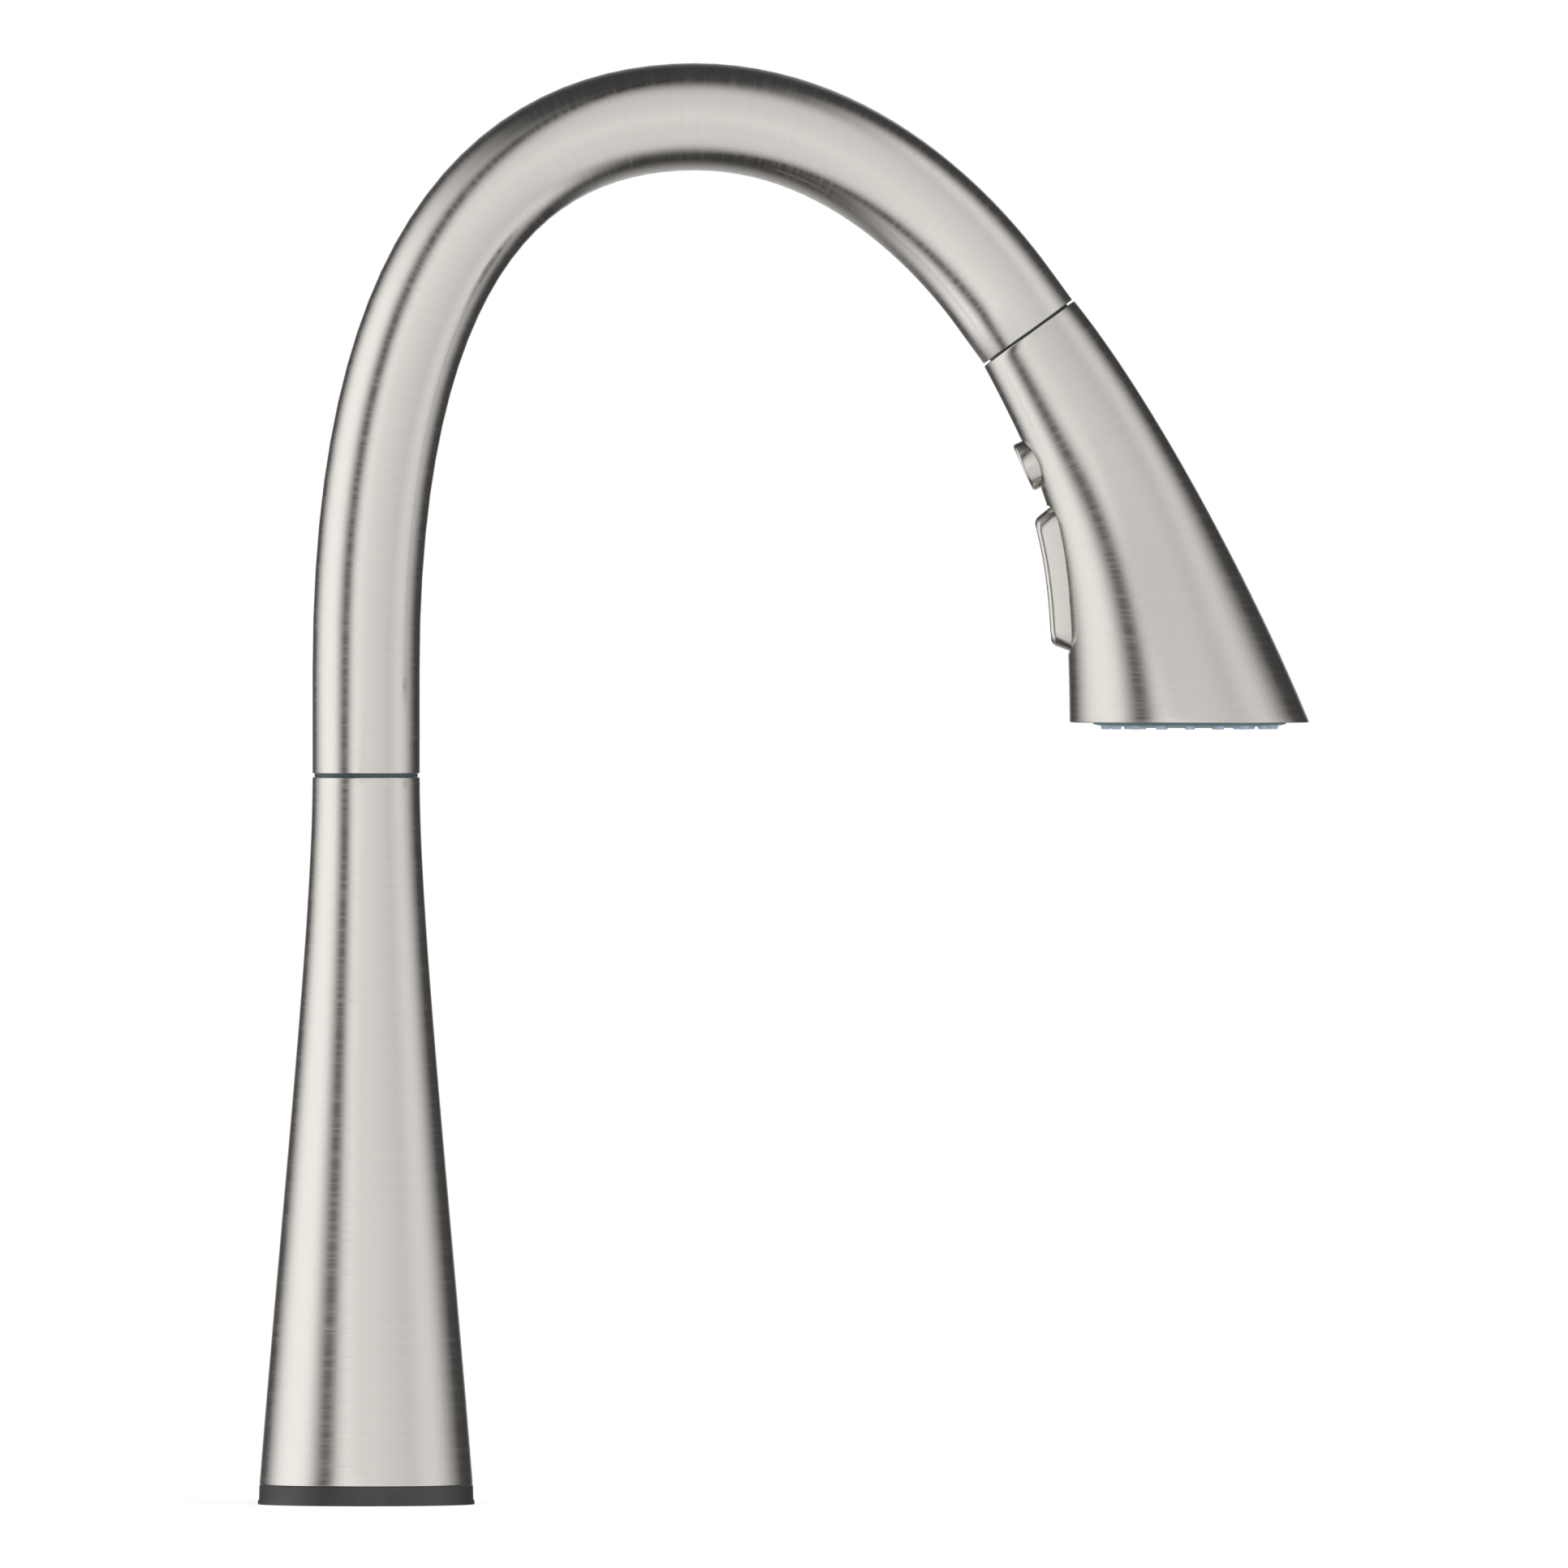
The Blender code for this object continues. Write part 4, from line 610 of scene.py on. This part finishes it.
def rocker_pad(low, high, grow, draft=(0, 0), rim=0.0, dish=0.0):
    """A rounded oblong pad bent to the head's back. Heights are out of the head's surface."""
    length, width = ROCKER_HALF_LENGTH + grow[0], ROCKER_HALF_WIDTH + grow[1]
    bm = bmesh.new()
    box = Matrix.Translation((0, 0, (low + high) / 2 * MM)) @ Matrix.Diagonal(
        (2 * length * MM, 2 * width * MM, (high - low) * MM, 1))
    bmesh.ops.create_cube(bm, size=1, matrix=box)
    uprights = [edge for edge in bm.edges if abs(edge.verts[0].co.z - edge.verts[1].co.z) > 0.5 * MM]
    bmesh.ops.bevel(bm, geom=uprights, offset=ROCKER_CORNER * MM, segments=8, profile=0.5, affect="EDGES",
                    offset_type="OFFSET", material=-1, clamp_overlap=True)
    if rim:
        bmesh.ops.bisect_plane(bm, geom=bm.verts[:] + bm.edges[:] + bm.faces[:],
                               plane_co=(0, 0, -0.5 * MM), plane_no=(0, 0, 1))
        top = [vert for vert in bm.verts if vert.co.z > (high - 0.1) * MM]
        bmesh.ops.scale(bm, verts=top, vec=(1 - draft[0] / length, 1 - draft[1] / width, 1))
        ridge = [edge for edge in bm.edges if all(end in set(top) for end in edge.verts)]
        bmesh.ops.bevel(bm, geom=ridge, offset=rim * MM, segments=5, profile=0.5, affect="EDGES",
                        offset_type="OFFSET", material=-1, clamp_overlap=True)
    for normal, reach, count in (((1, 0, 0), length, 28), ((0, 1, 0), width, 8)):
        for step in range(1, count):
            at = Vector(normal) * ((2 * step / count - 1) * reach * MM)
            bmesh.ops.bisect_plane(bm, geom=bm.verts[:] + bm.edges[:] + bm.faces[:], plane_co=at,
                                   plane_no=normal)
    grain = bm.verts.layers.float_vector.new("grain")
    for vert in bm.verts:
        along, side, height = vert.co.x / MM, vert.co.y / MM, vert.co.z / MM
        vert[grain] = (vert.co.y, vert.co.z, vert.co.x)
        if dish and height > high - 0.05:
            height -= dish * max(0, 1 - (side / (width - draft[1] - rim))**2)
        point, way = back_point(ROCKER_SHARE, along)
        vert.co = (point + SIDEWAYS.cross(way) * height + SIDEWAYS * side) * MM
    return bm


def make_head():
    shares = np.linspace(0, 1, 61)
    outer = [head_station(share, 0) for share in shares]
    inner = [head_station(share, HEAD_WALL) for share in shares[::-3]]
    shell = piece("head_shell_finished", drawn(outer + inner, 144, 0.35), SHADED_HEAD_NICKEL, "spray_head",
                  "brushed_nickel", "head_shell")
    cut(shell, rod(BUTTON_RADIUS + FIT, -BUTTON_DEPTH - 2, 7.65, button_place(), 72),
        rocker_pad(-ROCKER_DEPTH - 2, 8.3, (0.6, FIT)))
    keep_out_of_mirrors(shell)


def make_buttons():
    cap = [(0, -5.8), (2, -5.8), (2, -BUTTON_DEPTH), (BUTTON_RADIUS, -BUTTON_DEPTH), (BUTTON_RADIUS, 1.95),
           (6.75, 2.3), (6.3, 2.65), (5.9, 2.6), (3.4, 2.4), (0, 2.3)]
    piece("stream_button_finished", turned(cap, button_place(), 96, 0.12), SHADED_HEAD_NICKEL, "stream_switch",
          "brushed_nickel", "stream_button")
    pad = rocker_pad(-ROCKER_DEPTH, ROCKER_PROUD, (0, 0), draft=(2.1, 0.5), rim=1.6, dish=0.35)
    piece("spray_rocker_finished", pad, SHADED_HEAD_NICKEL, "spray_switch", "brushed_nickel", "spray_rocker")


def make_face():
    down = Matrix.Translation(OUTLET * MM)
    plate_line = [head_station(share, HEAD_WALL + FIT) for share in (0.962, 1)]
    plate = piece("spray_face_plate", drawn(plate_line, 112, 0.3, hollow=False), TEAL, "spray_head",
                  "teal_plastic")
    cut(plate, rod(9.3, -10, 20, down))
    disc = [(9.3, 0.2), (9.3, -1.2), (9.8, -FACE_PROUD), (13.2, -FACE_PROUD), (15, -1.3), (20, -1.05),
            (FACE_RADIUS - 1.5, -0.8), (FACE_RADIUS, -0.4), (FACE_RADIUS, 0.2)]
    piece("spray_face_finished", turned(disc, down, 144, 0.15), TEAL, "spray_head", "teal_plastic",
          "spray_face")
    tip = -FACE_PROUD - 0.35
    nozzle = [(0, tip + 0.5), (0.5, tip + 0.5), (0.55, tip), (1.15, tip), (1.3, tip + 0.12),
              (1.4, -0.6), (1.6, -0.2), (0, -0.2)]
    nozzles = bmesh.new()
    for angle, circle in [(math.tau * (number + 0.5) / count, circle)
                          for count, circle in NOZZLE_CIRCLES for number in range(count)]:
        spot = OUTLET + Vector((math.cos(angle), math.sin(angle), 0)) * circle
        one = turned(nozzle, Matrix.Translation(spot * MM), 20, 0)
        spare = bpy.data.meshes.new("nozzle")
        one.to_mesh(spare)
        one.free()
        nozzles.from_mesh(spare)
        bpy.data.meshes.remove(spare)
    piece("spray_nozzles", nozzles, SILICONE, "spray_head", "pale_blue_silicone", "nozzle_mat")
    rim = -FACE_PROUD
    insert = [(0, rim + 0.9), (1.6, rim + 0.9), (1.6, rim + 0.5), (2.1, rim + 0.5), (2.1, rim + 0.9),
              (3.5, rim + 0.9), (3.5, rim + 0.5), (4, rim + 0.5), (4, rim + 0.9), (5.4, rim + 0.9),
              (5.4, rim + 0.5), (5.9, rim + 0.5), (5.9, rim + 0.9), (7.4, rim + 0.9), (8, rim), (9, rim),
              (9, 6.55), (0, 6.55)]
    aerator = piece("aerator_finished", turned(insert, down, 72, 0.08), SILICONE, "spray_head",
                    "pale_blue_silicone", "aerator")
    holes = [rod(0.55, rim + 0.7, rim + 3, Matrix.Translation((OUTLET + Vector((
        circle * math.cos(turn), circle * math.sin(turn), 0))) * MM), 10)
        for circle, count in ((0.0, 1), (2.8, 7), (4.7, 12)) for turn in np.arange(count) * math.tau / count]
    cut(aerator, *holes)


# ---- The pieces inside --------------------------------------------------------------------

INSIDE = {
    "black_rubber": (RUBBER, "deck_gasket", "deck_rubber_washer", "lower_swivel_o_ring",
                     "upper_swivel_o_ring"),
    "steel": (STEEL, "deck_steel_washer", "left_jack_screw", "right_jack_screw", "stem_pin", "lever_stud",
              "handle_set_screw", "swivel_clip", "catch_ring", "rocker_pin", "button_spring"),
    "brass": (BRASS, "base_insert", "mounting_nut", "valve_body", "hot_inlet", "cold_inlet",
              "mixed_outlet", "cartridge_nut", "valve_stem", "swivel_sleeve", "hose_nut"),
    "dark_magnet": (MAGNET, "dock_magnet"),
    "alumina": (ALUMINA, "fixed_ceramic_disc", "moving_ceramic_disc"),
    "white_acetal": (ACETAL, "upper_swivel_bush", "lower_swivel_bush", "cartridge_case", "stem_carrier",
                     "check_valve", "water_core", "diverter_spool", "flow_plate", "rocker_bracket"),
}


def finish_inside():
    """Copies of the inner pieces with their edges eased."""
    for slot, (material, *names) in INSIDE.items():
        for name in names:
            bm = bmesh.new()
            bm.from_mesh(frame["nodes"][name].data)
            bmesh.ops.remove_doubles(bm, verts=bm.verts, dist=2e-6)
            bmesh.ops.dissolve_limit(bm, angle_limit=math.radians(1), verts=bm.verts, edges=bm.edges)
            if name != "button_spring":
                ease(bm, 0.12, 50)
            inner = piece(name + "_eased", bm, material, frame["nodes"][name]["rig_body"], slot, name)
            keep_out_of_mirrors(inner)


# ---- Light and camera ---------------------------------------------------------------------

def grey(value):
    return (value, value, value, 1)


# Brightness of the studio, from 0 at the camera's side to 180 degrees behind: by the turn round the
# faucet to its right and left, and by the angle over and under it.
RIGHT = ((0, 1.05), (19, 0.96), (38, 0.89), (50, 0.83), (60, 0.89), (71, 0.99), (84, 0.98), (97, 0.76),
         (112, 0.35), (126, 0.08), (160, 0.05), (175, 0.8))
LEFT = ((0, 1.05), (22, 1.22), (40, 1.25), (60, 1.2), (82, 1.36), (98, 1.34), (112, 1.16), (126, 0.66),
        (140, 0.13), (160, 0.05), (175, 0.8))
ABOVE = ((0, 1.05), (29, 0.92), (49, 0.87), (60, 0.76), (70, 0.45), (78, 0.18), (86, 0.07), (135, 0.06),
         (150, 0.15), (165, 0.4), (175, 0.8))
BELOW = ((0, 1.05), (20, 0.98), (49, 0.95), (60, 0.9), (68, 0.7), (76, 0.38), (84, 0.13), (92, 0.06),
         (104, 0.06), (113, 0.13), (126, 0.32), (140, 0.45), (160, 0.6), (180, 0.8))
# Share of the light that is left across the dark upright gap in the panels on the left.
GAP = ((22, 1.0), (32, 0.74), (38, 0.3), (44, 0.1), (50, 0.14), (58, 0.56), (68, 0.95), (76, 1.0))
GAP_LEAN = 0.2            # radians that the gap leans out from its top to its foot
# How steep a direction is, 0 for level and 1 for upright, where the panels round the faucet begin and
# cease to give way to those over and under it.
LEFT_ABOVE_BEGIN = 0.05
LEFT_BELOW_BEGIN = 0.3
LEFT_CEASE = 0.8
RIGHT_BEGIN = 0.6
RIGHT_CEASE = 1.0

FLOOR_RADIUS = 3.0        # metres, as are all the camera's lengths but its lens and sensor
VIEW_MIDDLE = Vector((0.1148, 0, 0.1979))
VIEW_WIDTH = 0.4308
VIEW_LIFT = 0.4           # degrees above level
LENS = 1200
SENSOR = 36


def light_studio():
    """Soft panels all round, with the dark gaps between them that give brushed metal its bands."""
    world = bpy.data.worlds.new("studio")
    bpy.context.scene.world = world
    world.use_nodes = True
    tree = world.node_tree
    tree.nodes.clear()
    way = wire(tree, "SeparateXYZ", {0: wire(tree, "TexCoord").outputs["Generated"]})
    x, y, z = (way.outputs[number] for number in range(3))
    on_right = wire(tree, "Math", {0: x, 1: 0.0}, operation="GREATER_THAN").outputs[0]
    upward = wire(tree, "Math", {0: z, 1: 0.0}, operation="GREATER_THAN").outputs[0]
    toward = wire(tree, "Math", {0: y, 1: -1.0}, operation="MULTIPLY").outputs[0]
    aside = wire(tree, "Math", {0: x}, operation="ABSOLUTE").outputs[0]
    turn = wire(tree, "Math", {0: aside, 1: toward}, operation="ARCTAN2").outputs[0]
    angle = wire(tree, "Math", {0: toward}, operation="ARCCOSINE").outputs[0]
    drop = wire(tree, "Math", {0: z, 1: 0.0}, operation="MINIMUM").outputs[0]
    leaning = wire(tree, "Math", {0: drop, 1: GAP_LEAN, 2: turn}, operation="MULTIPLY_ADD").outputs[0]
    ramps = []
    for measure, side in ((turn, LEFT), (turn, RIGHT), (angle, BELOW), (angle, ABOVE), (leaning, GAP)):
        share = wire(tree, "Math", {0: measure, 1: math.pi}, operation="DIVIDE").outputs[0]
        ramps.append(wire(tree, "ValToRGB", {"Fac": share},
                          stops=[(degrees / 180, grey(value / 2)) for degrees, value in side]).outputs[0])
    left, right, below, above, gap = ramps
    level = wire(tree, "MixRGB", {"Fac": on_right, "Color1": left, "Color2": right}).outputs[0]
    steep = wire(tree, "MixRGB", {"Fac": upward, "Color1": below, "Color2": above}).outputs[0]
    squares = [wire(tree, "Math", {0: part, 1: 2.0}, operation="POWER").outputs[0] for part in (aside, z)]
    total = wire(tree, "Math", {0: squares[0], 1: squares[1]}, operation="ADD").outputs[0]
    slope = wire(tree, "Math", {0: squares[1], 1: total}, operation="DIVIDE").outputs[0]
    left_begin = wire(tree, "MapRange", {"Value": upward, "To Min": LEFT_BELOW_BEGIN,
                                         "To Max": LEFT_ABOVE_BEGIN}).outputs[0]
    begin = wire(tree, "MapRange", {"Value": on_right, "To Min": left_begin,
                                    "To Max": RIGHT_BEGIN}).outputs[0]
    cease = wire(tree, "MapRange", {"Value": on_right, "To Min": LEFT_CEASE,
                                    "To Max": RIGHT_CEASE}).outputs[0]
    given = wire(tree, "MapRange", {"Value": slope, "From Min": begin, "From Max": cease},
                 interpolation_type="SMOOTHSTEP").outputs[0]
    panels = wire(tree, "MixRGB", {"Fac": given, "Color1": level, "Color2": steep}).outputs[0]
    whole = wire(tree, "MixRGB", {"Fac": on_right, "Color1": gap, "Color2": grey(0.5)}).outputs[0]
    light = wire(tree, "MixRGB", {"Fac": 1.0, "Color1": panels, "Color2": whole}, blend_type="MULTIPLY")
    studio = wire(tree, "Background", {"Color": light.outputs[0], "Strength": 4.0})
    plain = wire(tree, "Background", {"Color": (1, 1, 1, 1), "Strength": 1.0})
    seen = wire(tree, "LightPath")
    choice = wire(tree, "MixShader", {0: seen.outputs["Is Camera Ray"], 1: studio.outputs[0],
                                      2: plain.outputs[0]})
    wire(tree, "OutputWorld", {"Surface": choice.outputs[0]})


def lay_floor():
    """A plain white floor that shows a faint shadow under the faucet."""
    bm = bmesh.new()
    bmesh.ops.create_circle(bm, cap_ends=True, segments=96, radius=FLOOR_RADIUS)
    floor = bpy.data.objects.new("floor", bpy.data.meshes.new("floor"))
    bm.to_mesh(floor.data)
    bm.free()
    bpy.context.scene.collection.objects.link(floor)
    material = bpy.data.materials.new("white floor")
    material.use_nodes = True
    tree = material.node_tree
    tree.nodes.clear()
    matt = wire(tree, "BsdfDiffuse", {"Color": linear("#E8E8E8")})
    glow = wire(tree, "Emission", {"Color": (1, 1, 1, 1), "Strength": 0.7})
    both = wire(tree, "AddShader", {0: matt.outputs[0], 1: glow.outputs[0]})
    clear = wire(tree, "BsdfTransparent")
    seen = wire(tree, "LightPath")
    choice = wire(tree, "MixShader", {0: seen.outputs["Is Camera Ray"], 1: clear.outputs[0],
                                      2: both.outputs[0]})
    wire(tree, "OutputMaterial", {"Surface": choice.outputs[0]})
    floor.data.materials.append(material)


def set_camera():
    """A long lens level with the faucet's side, as far off as keeps the view almost flat."""
    camera = bpy.data.objects.new("camera", bpy.data.cameras.new("camera"))
    bpy.context.scene.collection.objects.link(camera)
    bpy.context.scene.camera = camera
    camera.data.sensor_width = SENSOR
    camera.data.lens = LENS
    lift = math.radians(VIEW_LIFT)
    distance = VIEW_WIDTH * LENS / SENSOR
    camera.location = VIEW_MIDDLE + Vector((0, -math.cos(lift), math.sin(lift))) * distance
    camera.rotation_euler = (math.pi / 2 - lift, 0, 0)
    camera.data.clip_start = 0.1
    camera.data.clip_end = 60


make_body()
make_shank()
make_valve_covers()
make_handle()
make_spout()
make_dock()
make_head()
make_buttons()
make_face()
finish_inside()
light_studio()
lay_floor()
set_camera()
bpy.context.scene.view_settings.view_transform = "Standard"
